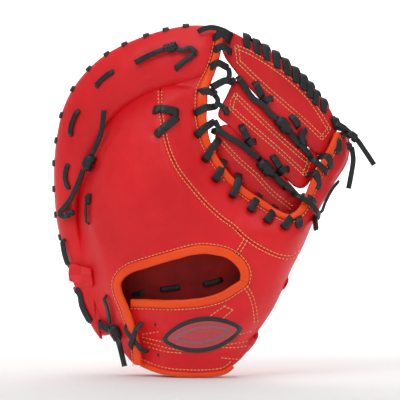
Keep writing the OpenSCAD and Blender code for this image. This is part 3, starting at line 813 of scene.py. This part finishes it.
palm_piece = filled("palm_leather", palm_outline, 3.0, palm_face, PALM_T, palm_red, "palm_leather",
                    palm_detail)
finish(palm_piece, ["palm_shell_finger", "palm_shell_thumb"])


def inset_outline(d, step=4.0):
    """The palm's outline moved inwards by d."""
    closed = np.concatenate([palm_outline, palm_outline[:1]])
    line = even(closed, step)[:-1]
    t = unit(np.roll(line, -1, 0) - np.roll(line, 1, 0))
    side = np.stack([-t[:, 1], t[:, 0]], 1)
    moved = line + side * d
    keep = distance(moved[:, 0], moved[:, 1], closed) > abs(d) * 0.97
    return moved[keep]


lining = filled("hand_lining", inset_outline(5.0), 4.0, liner, 2.0, suede, "lining",
                lambda x, z: bumps(x, z, 18, 51.0) * 0.5, outward=-1)
finish(lining, ["palm_liner", "thumb_liner"])


def pad_piece(name, side, node):
    outline = inset_outline(13.0, 5.0)
    u = (outline[:, 0] - fold_x(outline[:, 1])) * side
    outline = outline[u > 14]
    o = filled(name, outline, 5.0, lambda x, z: palm_y(x, z) - 5.0, 8.0, felt, "felt",
               lambda x, z: bumps(x, z, 22, 61.0) * 0.4)
    finish(o, [node], pad=1.0)


pad_piece("finger_felt_pad", -1, "finger_pad")
pad_piece("thumb_felt_pad", 1, "thumb_pad")


def finger_arch(name, centre, angle, half, height, length, node):
    """A leather arch on the lining, that one finger goes through."""
    d = np.array([math.cos(math.radians(angle)), math.sin(math.radians(angle))])
    s = np.array([-d[1], d[0]])
    c = np.array(centre, float)
    rows = []
    for f in np.linspace(-0.5, 0.5, 9):
        flare = 1 + 0.5 * f * f
        ang = np.radians(np.linspace(4, 176, 23))
        p = c + d * length * f + s * (half * flare * np.cos(ang))[:, None]
        y = liner(p[:, 0], p[:, 1]) - 0.5 - height * flare * np.sin(ang)
        rows.append(np.stack([p[:, 0], y, p[:, 1]], 1))
    b = Build()
    b.grid(np.array(rows), outward=(0, -1, 0))
    finish(thicken(b.piece(name, loop_red, "loop_leather"), 2.0), [node])


finger_arch("little_finger_loop", (-58, 52), 100, 14, 17, 22, "finger_loop")
finger_arch("thumb_finger_loop", (92, 33), 56, 13, 16, 20, "thumb_loop")


# ---------------------------------------------------------------- wrist strap
FAN_LINES = [[(-35, -55), (-21, -52)], [(-35, -58), (-18, -61), (-2, -62)],
             [(-34, -62), (-12, -67), (8, -70)], [(-29, -67), (-14, -70.5), (0, -71.5)],
             [(44, -57), (56, -54), (67, -52)], [(38, -64), (52, -62.5), (67, -61)],
             [(37, -66), (50, -66.5), (62, -66)], [(40, -76), (48, -77), (57, -78)]]
STRAP_END_SEAM = [(60, -7), (66, -15), (70, -27), (72, -42)]


def strap_finish(o, nodes):
    """Bakes a strap piece's transform and hides its CAD solids; on the mitt the strap's right end is sewn
    down and its left end slides.
    """
    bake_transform(o)
    if nodes:
        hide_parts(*nodes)
    return o


def strap_detail(x, z):
    quilt = sum(0.9 * np.exp(-(distance(x, z, line) / 1.5) ** 2) for line in FAN_LINES)
    end_seam = 0.7 * np.exp(-(distance(x, z, STRAP_END_SEAM) / 1.4) ** 2)
    return quilt + end_seam + bumps(x + z, z, 16, 71.0) * 0.5 - 1.4


strap_a = even([(-49, -27), (-28, -26), (-5, -26), (19, -24), (38, -19), (50, -12), (59, -6),
                (66, -13), (73, -22), (79, -36)], count=80)
strap_b = even([(-41, -84), (-25, -88), (-10, -91), (8, -92), (24, -92), (41, -90), (51, -84),
                (62, -74), (71, -60), (78, -44)], count=80)
strap_out = panel("wrist_strap_leather", strap_a, strap_b, 40, strap, BACK_T, red, "back_leather",
                  strap_detail)
strap_finish(strap_out, ["wrist_strap"])
gusset = panel("strap_end_gusset", even([(58, -5), (58, -12), (58, -26), (60, -45), (58, -62)], count=30),
               even([(76, 0), (81, -8), (85, -18), (82, -34), (70, -54)], count=30), 14,
               lambda x, z: back(x, z) + 4.0, 2.0, red, "back_leather")
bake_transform(gusset)
inner_a, inner_b = strap_a[2:-26] + [0, -3], strap_b[2:-26] + [0, 3]
strap_finish(panel("wrist_strap_lining", inner_a, inner_b, 24, lambda x, z: strap(x, z) + 5.6, 3.6,
                   suede, "lining", lambda x, z: bumps(x, z, 14, 73.0) * 0.5, outward=1),
             ["strap_lining"])


# ---------------------------------------------------------------- bindings
def binding(name, line, face, nodes, lift=0.2, w=BIND_W, t=BIND_T, place=finish, seed=0.0,
            swell=0.0):
    """A strip of thin leather folded over an edge and sewn through."""
    flat = even(line, 1.5)
    p, n = on(face, flat, lift)
    tan = tangents(p)
    side = unit(np.cross(tan, n))
    wave = 1 + 0.05 * bumps(np.arange(len(p)) * 1.5, np.zeros(len(p)), 9, seed)
    wave = wave + swell * np.exp(-((flat[:, 1] - 166) / 30) ** 2)
    b = Build()
    b.sweep(p, side, np.cross(side, tan), ring_section(w, t, 2.8, 16), scale=wave)
    return place(subdivide(b.piece(name, orange, "binding")), nodes)


wide_edge = [(x + 2.2 * math.exp(-((z - 166) / 30) ** 2), z) for x, z in WEB_EDGE_F]
binding("web_edge_binding_finger", wide_edge + [(50, 90)], back, ["web_binding_finger"], seed=1.0,
        swell=0.42)
binding("web_edge_binding_thumb", [(42, 98.5), (48, 91.5)] + WEB_EDGE_T, back, ["web_binding_thumb"],
        seed=2.0)
binding("wrist_opening_binding", OPENING, back, ["wrist_binding"], lift=1.3, w=8.6, t=5.0, seed=3.0)
binding("strap_upper_binding", STRAP_TOP + [(60.5, -2)], strap, ["strap_top_binding"], w=8.2, t=5.0,
        place=strap_finish, seed=4.0, lift=1.2)
binding("strap_lower_binding", STRAP_END, strap, ["strap_end_binding"], w=5.0, t=4.4,
        place=strap_finish, seed=5.0)


# ---------------------------------------------------------------- emblem: a plain pointed oval
def lens(centre, length, height, angle, count=48):
    """A pointed oval, anticlockwise."""
    u = np.linspace(-1, 1, count // 2, endpoint=False)
    h = height / 2 * (1 - u * u) ** 0.85
    low = np.stack([u * length / 2, -h], 1)
    high = np.stack([-u * length / 2, h], 1)
    c, s = math.cos(math.radians(angle)), math.sin(math.radians(angle))
    p = np.concatenate([low, high])
    return np.stack([p[:, 0] * c - p[:, 1] * s, p[:, 0] * s + p[:, 1] * c], 1) + centre


def strap_front(x, z):
    return strap(x, z) + strap_detail(x, z)


EMBLEM_AT, EMBLEM_TILT = np.array([21.0, -54.0]), 8
for name, material, length, height, lift, t in (
        ("emblem_patch_edge", black_satin, 80, 34, 1.1, 1.1),
        ("emblem_patch_field", pink_satin, 69, 25, 1.8, 0.9),
        ("emblem_patch_ring", grey_satin, 54, 16, 2.2, 0.8),
        ("emblem_patch_heart", pink_satin, 48, 12.5, 2.6, 0.8)):
    o = filled(name, lens(EMBLEM_AT, length, height, EMBLEM_TILT), 2.0, strap_front, t, material,
               "emblem", lambda x, z, up=lift: np.full(np.shape(x), -up), outward=-1)
    strap_finish(o, ["emblem_patch"] if name == "emblem_patch_edge" else [])


# ---------------------------------------------------------------- web
TOP_POST = [(41, 236)] + TOP_EDGE + [(152, 136), (145, 118), (134, 115), (117, 129), (105, 140), (92, 152),
                       (80, 164), (67, 178), (57, 189), (47, 202), (41, 211), (38, 224)]
MIDDLE_POST = [(52, 190), (65, 176), (79, 162), (93, 149), (107, 137), (121, 125), (134, 115),
               (131, 102), (122, 86), (112, 84), (101, 93), (87, 104), (73, 117), (59, 130),
               (45, 144), (35, 154), (43, 172)]
LOWER_POST = [(34, 141), (44, 146), (58, 137), (70, 126), (82, 113), (96, 100), (108, 87),
              (117, 75), (114, 62), (104, 55), (89, 61), (72, 72), (53, 91), (40, 105), (32, 122)]


def post_shape(x, z, outline):
    """A padded post is fuller in its middle."""
    return -1.6 * shoulder(distance(x, z, outline), 14) + bumps(x, z, 17, 81.0) * 0.5


def closed(points, step):
    """Evenly spaced points round a closed curve, the first one not repeated."""
    return even(np.asarray(list(points) + [points[0]], float), step)[:-1]


post_sides = {}
for name, outline, level, node_name in (("web_top_post_leather", TOP_POST, 0.0, "web_top_post"),
                                        ("web_middle_post_leather", MIDDLE_POST, 1.0, "web_middle_post"),
                                        ("web_lower_post_leather", LOWER_POST, 2.0, "web_lower_post")):
    edge = closed(outline, 3.0)
    if np.cross(np.roll(edge, -1, 0) - edge[:1], edge - edge[:1]).sum() > 0:
        edge = edge[::-1]
    ring = np.concatenate([edge, edge[:1]])
    post_sides[node_name] = ring
    o = filled(name, edge, 2.8, post, POST_T, palm_red, "palm_leather",
               lambda x, z, r=ring, up=level: post_shape(x, z, r) + up, outward=-1)
    finish(o, [node_name])


def web_front(x, z):
    return post(x, z) - 1.2


def web_rear(x, z):
    return post(x, z) + POST_T + 0.6


# ---------------------------------------------------------------- lacing of the web
def turn_lace(build, line, rise=4.4, far=web_front):
    """One turn of lace from its hole in the panel, over the binding, to the web."""
    a, m, b = (np.array(p, float) for p in line)
    q = [a, a * 0.72 + m * 0.28, m, m * 0.4 + b * 0.6, b]
    ya = float(back(*a)) - LACE_T / 2
    ym = float(back(*m)) - rise
    yb = float(far(*b)) - LACE_T / 2
    y = [ya + 1.6, ya - 1.8, ym, ym * 0.45 + yb * 0.55 - 0.6, yb + 1.8]
    p = even([(u[0], h, u[1]) for u, h in zip(q, y)], 1.2)
    d = unit(b - a)
    lace(build, p, np.repeat(np.array([[-d[1], 0, d[0]]]), len(p), 0), 1.38)


turns_f, turns_t = Build(), Build()
for line in FINGER_TURNS[:9]:
    turn_lace(turns_f, line)
for line in FINGER_TURNS[9:] + THUMB_TURNS:
    turn_lace(turns_t, line)
# the long lace over the corner of the rim, and strands down the web's gap
span_lace(turns_f, [(17, float(rim_face(17.0, 233.0)) - 1, 233),
                    (22, float(rim_face(22.0, 236.0)) - 3, 235.5),
                    (31, float(rim_face(31.0, 237.0)) - 4, 237),
                    (42, float(rim_face(42.0, 236.0)) - 1, 234),
                    (50, float(web_front(50.0, 229.0)) + 0.5, 230)], side=(0.1, -0.3, 1))
for line in ([(46, 199), (47, 192), (44, 185)], [(31, 175), (36, 168), (33, 160)],
             [(34, 166), (40, 162), (44, 159)], [(33, 149), (36, 143), (38, 138)]):
    span_lace(turns_f, [(x, float(web_front(x, z)) - 1.5, z) for x, z in line])
knot(turns_f, (43.5, float(web_front(43.0, 158.0)) - 2.5, 158), (0.5, 0, -1), (0, -1, 0), 0.8)
knot(turns_f, (49.5, float(web_front(50.0, 186.0)) - 2.5, 186), (0.4, 0, 1), (0, -1, 0), 0.75)
finish(turns_f.piece("web_turn_laces_finger", black, "lace"), ["web_lace_finger"])
knot(turns_t, (150, float(web_front(150.0, 147.0)) - 2, 148), (0.4, 0.2, -1), (-0.3, -1, 0), 1.15)
finish(turns_t.piece("web_turn_laces_thumb", black, "lace"), ["web_lace_thumb"])

edge_laces = Build()
top_ring = post_sides["web_top_post"]
for (ex, ez), (qx, qz) in EDGE_TURNS:
    e, q = np.array([ex, ez], float), np.array([qx, qz], float)
    n = unit(e - q)
    tangent = np.array([0.72, -0.69])
    yf = lambda p: float(post(*p)) + float(post_shape(*p, top_ring)) - LACE_T / 2
    yb = lambda p: float(post(*p)) + POST_T + LACE_T / 2
    inner, far = e - n * 4.6, e - n * 4.2 + tangent * 3.0
    q2 = q + tangent * 5.0
    rim_y = (yf(inner) + yb(inner)) / 2
    path = [(q[0], yf(q) + 2.4, q[1]), (q[0], yf(q) - 0.4, q[1] + 1.4),
            (inner[0], yf(inner) - 0.3, inner[1]), (e[0] - n[0] * 1.4, rim_y, e[1] - n[1] * 1.4),
            (far[0], yb(far) + 0.3, far[1]), (q2[0], yb(q2) + 0.3, q2[1]),
            (q2[0], yb(q2) - 2.2, q2[1] - 1.0)]
    path = even(path, 1.2)
    side = unit(np.array([n[1] + tangent[0], 0, tangent[1] - n[0]]))
    lace(edge_laces, path, np.repeat(side[None], len(path), 0), 1.32)
finish(edge_laces.piece("web_top_edge_laces", black, "lace"), ["web_edge_lace"])


def over_edge(x, z):
    """The front of the web, and the top of the binding where a lace crosses it."""
    near = np.maximum(smooth((13 - distance(x, z, WEB_EDGE_T)) / 5),
                      smooth((17 - distance(x, z, THUMB_OUT)) / 5))
    return web_front(x, z) * (1 - near) + np.minimum(web_front(x, z), back(x, z) - 4.0) * near


def strand(build, line, lift=1.0, face=web_front, outward=-1, dive=(1, 1), w=1.0):
    laid_lace(build, line, face, lift, dive, 1.4, outward, w)


UPPER_BRAID = {
    "runs": [([(55, 191), (63, 178), (70, 169), (79, 163), (86, 154), (97, 148)], 1.4, []),
             ([(99, 142), (107, 134), (117, 123), (128, 110), (142, 98)], 1.4, []),
             ([(101, 140), (107, 132), (115, 123)], 2.6, [])],
    "arms": [[(71, 187), (74, 178), (79, 170)], [(90, 170), (84, 169), (79, 165)],
             [(105, 155), (109, 148), (114, 141)], [(123, 139), (117, 138), (115, 131), (121, 124)]],
    "knot": (98, 145)}
LOWER_BRAID = {
    "runs": [([(30, 139), (38, 138), (47, 132), (58, 126), (66, 119), (77, 111)], 2.0, []),
             ([(84, 101), (93, 92), (102, 85), (112, 76), (123, 68)], 2.4,
              [(129, 60), (131, 52), (131, 43)]),
             ([(86, 99), (94, 90), (101, 84)], 3.6, [])],
    "arms": [[(58, 145), (61, 137), (65, 128)], [(73, 129), (68, 128), (63, 124)],
             [(88, 116), (91, 109), (96, 101)], [(105, 102), (98, 102), (93, 97)]],
    "knot": (81, 104)}
for name, route, node_name in (("upper_braid_laces", UPPER_BRAID, "upper_braid_lace"),
                               ("lower_braid_laces", LOWER_BRAID, "lower_braid_lace")):
    b = Build()
    for line, lift, tail in route["runs"]:
        strand(b, line + tail, lift, over_edge, dive=(1, 0) if tail else (1, 1), w=1.12)
        strand(b, line[::2] + line[-1:] if len(line) > 4 else line, lift - 0.6, web_rear, 1)
    for line in route["arms"]:
        strand(b, line, 3.0, w=1.3)
        strand(b, line, 0.6, web_rear, 1, w=1.15)
    kx, kz = route["knot"]
    ky = float(web_front(float(kx), float(kz)))
    knot(b, (kx, ky - 3.4, kz), (0.62, 0, -0.78), (0, -1, 0), 1.5)
    knot(b, (kx + 3, ky - 5.0, kz - 4), (0.9, 0, -0.3), (0, -1, 0), 1.05)
    finish(b.piece(name, black, "lace"), [node_name])


# ---------------------------------------------------------------- lacing of the back and rims
def rim_surface(x, z):
    return palm_y(x, z) - 25.0


def small(name, nodes, *laces, knots=(), body=None):
    """A few laces laid on the leather, as one piece."""
    b = Build()
    for line, face, lift, dive, w in laces:
        laid_lace(b, line, face, lift, dive, 1.4, -1, w)
    for at, along, size in knots:
        knot(b, at, along, (0, -1, 0), size)
    return finish(b.piece(name, black, "lace"), nodes, body)


dash_laces = [(line, rim_surface, 1.0, (1, 1), 1.0) for line in RIM_DASHES]
small("rim_dash_laces", ["band_lace"], *dash_laces)
small("seam_v_laces", ["seam_lace"], *[(line, back, 0.8, (1, 1), 1.55) for line in SEAM_V])
top_y = float(rim_face(-8.0, 218.0))
small("top_knot_laces", ["top_knot_lace"],
      ([(-5, 197), (5, 205), (15, 212)], rim_surface, 1.2, (1, 0), 1.05),
      ([(16, 212), (10, 217), (3, 214.5), (-4, 217)], rim_surface, 3.2, (0, 0), 1.0),
      knots=(((-9, top_y - 4.5, 218), (-1, 0, -0.3), 1.2),))
side_y = float(rim_face(-88.0, 110.0))
small("side_laces", ["side_lace"],
      ([(-91, 102), (-95, 91), (-104, 73), (-115, 60)], rim_surface, 4.0, (0, 0), 1.05),
      ([(-115, 60), (-111, 57.5), (-106, 58)], rim_surface, 4.5, (0, 0), 0.95),
      ([(-88, 70), (-88, 60), (-88, 48)], back, 2.2, (0, 1), 0.8),
      knots=(((-88, side_y - 5.5, 109), (0.5, 0, 1), 1.45),
             ((-88, float(back(-88.0, 74.0)) - 2.8, 74), (0, 0, 1), 0.95),
             ((-107, float(rim_face(-107.0, 61.0)) - 5.5, 60), (1, 0, 0.4), 0.9)))
small("heel_side_laces", ["heel_lace"],
      ([(-114, 35), (-112, 22), (-108, 9)], rim_surface, 0.5, (1, 1), 1.1),
      ([(-102, -11), (-96, -18), (-93, -31), (-85, -46)], rim_surface, 1.5, (1, 1), 1.3),
      ([(-72, -17), (-67, -30), (-65, -45)], back, 2.6, (1, 0), 1.05),
      ([(-80, -45), (-72, -49), (-64, -52)], back, 2.4, (1, 0), 1.45),
      knots=(((-62, float(back(-62.0, -53.0)) - 4.5, -54), (0.5, 0, -1), 1.4),))
small("strap_cross_laces", ["strap_lace"],
      ([(-53, -45), (-43, -58), (-31, -72)], back, 3.4, (1, 1), 1.0),
      ([(-37, -43), (-41, -56), (-47, -71)], back, 5.0, (1, 1), 1.0))
b = Build()
for line in ([(-47, -19), (-40, -17), (-33, -15)], [(-20, -13), (-10, -11.5), (1, -10)],
             [(21, -8), (31, -5.5), (41, -2)]):
    laid_lace(b, line, liner, 0.6, (1, 1), 1.4, -1, 1.0)
    laid_lace(b, line, palm_face, 0.6, (1, 1), 1.4, 1, 1.0)
finish(b.piece("heel_palm_laces", black, "lace"), ["palm_lace"])
b = Build()
laid_lace(b, [(150, 147), (158, 142), (165, 136)], lambda x, z: palm_y(x, z) - 24, 0.5, (1, 0))
laid_lace(b, [(152, 91.5), (145, 83), (138.5, 71), (134.5, 60)], lambda x, z: palm_y(x, z) - 19, 0.5,
          (0, 1), w=0.65)
knot(b, (166, 37, 134.5), (0.8, 0, -0.6), (0, -1, 0), 1.1)
knot(b, (163, 34, 125), (0.2, 0, -1), (0, -1, 0), 0.7)
finish(b.piece("thumb_knot_laces", black, "lace"), ["thumb_knot_lace"])

# turns of lace round the rim's outer edge, from the palm to the silhouette
b = Build()
RIM_TURNS = [(5, 237), (-13, 235), (-31, 229), (-52, 221), (-70, 212), (-87, 197), (-101, 179),
             (-113, 155), (-120, 132), (-122, 108), (-121, 84), (-119, 60), (-115, 37), (-107, 12),
             (-99, -14), (-88, -40)]
for x, z in RIM_TURNS:
    i = int(np.argmin(np.linalg.norm(rim_outer - (x, z), axis=1)))
    o, t = rim_outer[i], tangents(rim_outer)[i]
    h = np.array([-t[1], t[0]])
    h = h if h @ (o - rim_inner[i]) > 0 else -h
    half = float(np.linalg.norm(rim_outer[i] - rim_inner[i]) / 2)
    c = o - h * half
    ang = np.radians(np.linspace(-24, 78, 16))
    grow = 0.3 + 0.9 * (smooth((np.degrees(ang) + 24) / 16) * smooth((78 - np.degrees(ang)) / 12)) - 0.4
    w = np.sign(np.cos(ang)) * np.abs(np.cos(ang)) ** 0.9 * half + grow * np.cos(ang)
    d = np.sign(np.sin(ang)) * np.abs(np.sin(ang)) ** 0.9 * 13.5 + grow * np.sin(ang)
    flat = c + h * w[:, None]
    y = palm_y(flat[:, 0], flat[:, 1]) - 12 + d
    p = np.stack([flat[:, 0], y, flat[:, 1]], 1)
    lace(b, p, np.repeat(np.array([[t[0], 0, t[1]]]), len(p), 0), 1.3)
finish(b.piece("rim_turn_laces", black, "lace"), ["rim_lace"])


# ---------------------------------------------------------------- little-finger tab
tab_a = even([(-108, 11), (-107, 2), (-104, -8), (-97, -24), (-90, -40), (-78, -61)], count=44)
tab_b = even([(-89, 7), (-86, 0), (-84, -8), (-83, -24), (-82, -40), (-76, -62)], count=44)


def tab_shape(x, z):
    fold = smooth((z + 9) / 4)
    ridge = 2.2 * np.exp(-((z + 9) / 2.5) ** 2)
    return palm_y(x, z) - 27.5 - 2.5 * fold - ridge + 2.0 * smooth((-20 - z) / 40)


def tab_fold(x, z):
    u, v = (x + 96.5) / 11, (z - 0.5) / 9
    return -5.0 * np.clip(1 - np.abs(u) * 0.75 - np.abs(v) * 0.75, 0, 1) - 1.6


finish(panel("little_finger_tab_fold", even([(-107, 12), (-109, 3), (-108, -6)], count=20),
             even([(-86, 7), (-85, -2), (-84, -11)], count=20), 20, tab_shape, 2.0, red,
             "back_leather", tab_fold), [])
finish(panel("little_finger_tab_leather", tab_a, tab_b, 14, tab_shape, 2.4, red, "back_leather",
             lambda x, z: bumps(x, z, 9, 91.0) * 0.6), ["little_finger_tab"])


# ---------------------------------------------------------------- stitching
def rows(name, lines, face, place, lift=0.25, outward=-1):
    b = Build()
    for line in lines:
        stitches(b, line, face, lift, outward)
    return place(b.piece(name, thread, "emblem"), [])


def pair(points, gap=3.4):
    return [beside(points, gap / 2, 2), beside(points, -gap / 2, 2)]


MAIN_SEAM = SEAM[:-1] + [(50, 48.5), (60, 39), (71, 31), (82, 25), (93, 20.5), (104, 19), (113, 23)]
rows("main_seam_stitches", pair(MAIN_SEAM) + pair([(54, 23), (58, 29), (61.5, 35)]), back, finish, 0.5)
rows("binding_stitches", [beside(WEB_EDGE_F, -4.6, 2), beside(WEB_EDGE_T, -4.6, 2),
                          beside(OPENING, 5.6, 2)], back, finish, 0.9)
rows("palm_stitches", [beside(RIM_IN[2:-1], -9.5, 2), beside(RIM_IN[2:-1], -13, 2),
                       beside([(28, 188)] + WEB_EDGE_F[4:], -12, 2), beside(WEB_EDGE_T[1:-3], -6, 2),
                       even([(-58, -58), (-36, -64), (-10, -67), (18, -67), (40, -62), (62, -50)], 2)],
     lambda x, z: palm_face(x, z) + palm_detail(x, z), finish, 0.4, 1)
rows("strap_binding_stitches", [beside(STRAP_TOP + [(60, -4)], -5.4, 2), beside(STRAP_END, 4.6, 2)],
     strap_front, strap_finish, 0.6)
rows("strap_stitches", FAN_LINES + pair(STRAP_END_SEAM)
     + [[(24, -40), (33, -33), (42, -27)], [(42, -27), (49, -30)], [(49, -31), (40, -39), (31, -46)]],
     strap_front, strap_finish, 0.35)

# Black discs standing slightly proud of the strap at its two lace holes: painted shade for the dark inside of
# each hole.
holes = Build()
for x, z in ((-23.0, -45.0), (-20.0, -74.0)):
    y = float(strap_front(x, z))
    holes.sweep(np.array([[x, y + 1, z], [x, y - 0.35, z]]), np.array([[1.0, 0, 0]] * 2),
                np.array([[0, 0, 1.0]] * 2), ring_section(3.4, 3.4, 2, 14))
strap_finish(holes.piece("strap_hole_painted_shade", black, "lace"), [])

POST_ROWS = [[(54, 219), (66, 214), (80, 206), (95, 196), (110, 184), (124, 170), (136, 153), (143, 142)],
             [(56, 205), (67, 194), (78, 184), (89, 174), (101, 164), (121, 147), (136, 133)],
             [(54, 219), (55, 212), (56, 205)], [(136, 133), (140, 137), (143, 142)]]
MIDDLE_ROWS = [[(53, 173), (66, 160), (87, 140), (105, 124), (123, 109)],
               [(49, 160), (60, 150), (75, 137), (87, 127), (105, 111), (119, 98)],
               [(53, 173), (50, 167), (49, 160)], [(119, 98), (121, 103), (123, 109)]]
LOWER_ROWS = [[(41, 127), (56, 111), (72, 97), (88, 80), (106, 66)]]


def on_post(node_name, level):
    ring = post_sides[node_name]
    return lambda x, z: post(x, z) + post_shape(x, z, ring) + level


for node_name, level, lines in (("web_top_post", 0.0, POST_ROWS), ("web_middle_post", 1.0, MIDDLE_ROWS),
                                ("web_lower_post", 2.0, LOWER_ROWS)):
    double = [q for line in lines for q in pair(line)]
    rows(node_name + "_stitches", double, on_post(node_name, level), finish)


# ---------------------------------------------------------------- stage
def stage_material(name, colour):
    m, tree, shader = surface(name, Roughness=0.9)
    mottle = texture(tree, "ShaderNodeTexNoise", 3.0)
    tree.links.new(ramp(tree, mottle.outputs["Fac"], [(0.3, tuple(c * 0.98 for c in colour)),
                                                      (0.7, colour)]), shader.inputs["Base Color"])
    return m


FLOOR_Z = float(min(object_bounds()[0][2], cad_box[0][2])) / MM - 0.5
sweep_line = [(-4000.0, FLOOR_Z), (3200.0, FLOOR_Z)]
sweep_line += [(3200 + 900 * math.sin(a), FLOOR_Z + 900 * (1 - math.cos(a)))
               for a in np.radians(np.arange(5, 91, 5))]
sweep_line += [(4100.0, 3500.0)]
b = Build()
b.grid(np.array([[(x, y, z) for y, z in sweep_line] for x in (-4000.0, 0.0, 4000.0)]),
       outward=(0, 0, 1))
floor = b.piece("studio_floor", stage_material("pale_studio_paper", (0.93, 0.93, 0.93)))


def softbox(name, place, aim, size, power, tint=(1, 1, 1)):
    light = bpy.data.lights.new(name, "AREA")
    light.shape = "RECTANGLE"
    light.size, light.size_y = size
    light.energy = power
    light.color = tint
    o = bpy.data.objects.new(name, light)
    o.location = place
    o.rotation_euler = (Vector(aim) - Vector(place)).to_track_quat("-Z", "Y").to_euler()
    bpy.context.scene.collection.objects.link(o)


bpy.context.scene.view_settings.view_transform = "Standard"
CENTRE = (0.02, 0.0, 0.07)
softbox("key_light", (-0.9, -1.5, 1.5), CENTRE, (1.2, 1.0), 13)
softbox("fill_light", (1.5, -1.5, 0.5), CENTRE, (1.2, 1.4), 3.5)
softbox("top_light", (0.1, -0.1, 1.7), CENTRE, (1.4, 1.0), 7)
softbox("palm_light", (0.3, 1.4, 1.0), CENTRE, (1.4, 1.2), 5)
softbox("paper_light", (0.0, 2.4, 2.4), (0.0, 4.0, 0.6), (4.0, 1.5), 135)
world = bpy.data.worlds.new("studio")
world.use_nodes = True
world.node_tree.nodes["Background"].inputs["Color"].default_value = (1, 1, 1, 1)
world.node_tree.nodes["Background"].inputs["Strength"].default_value = 0.42
bpy.context.scene.world = world
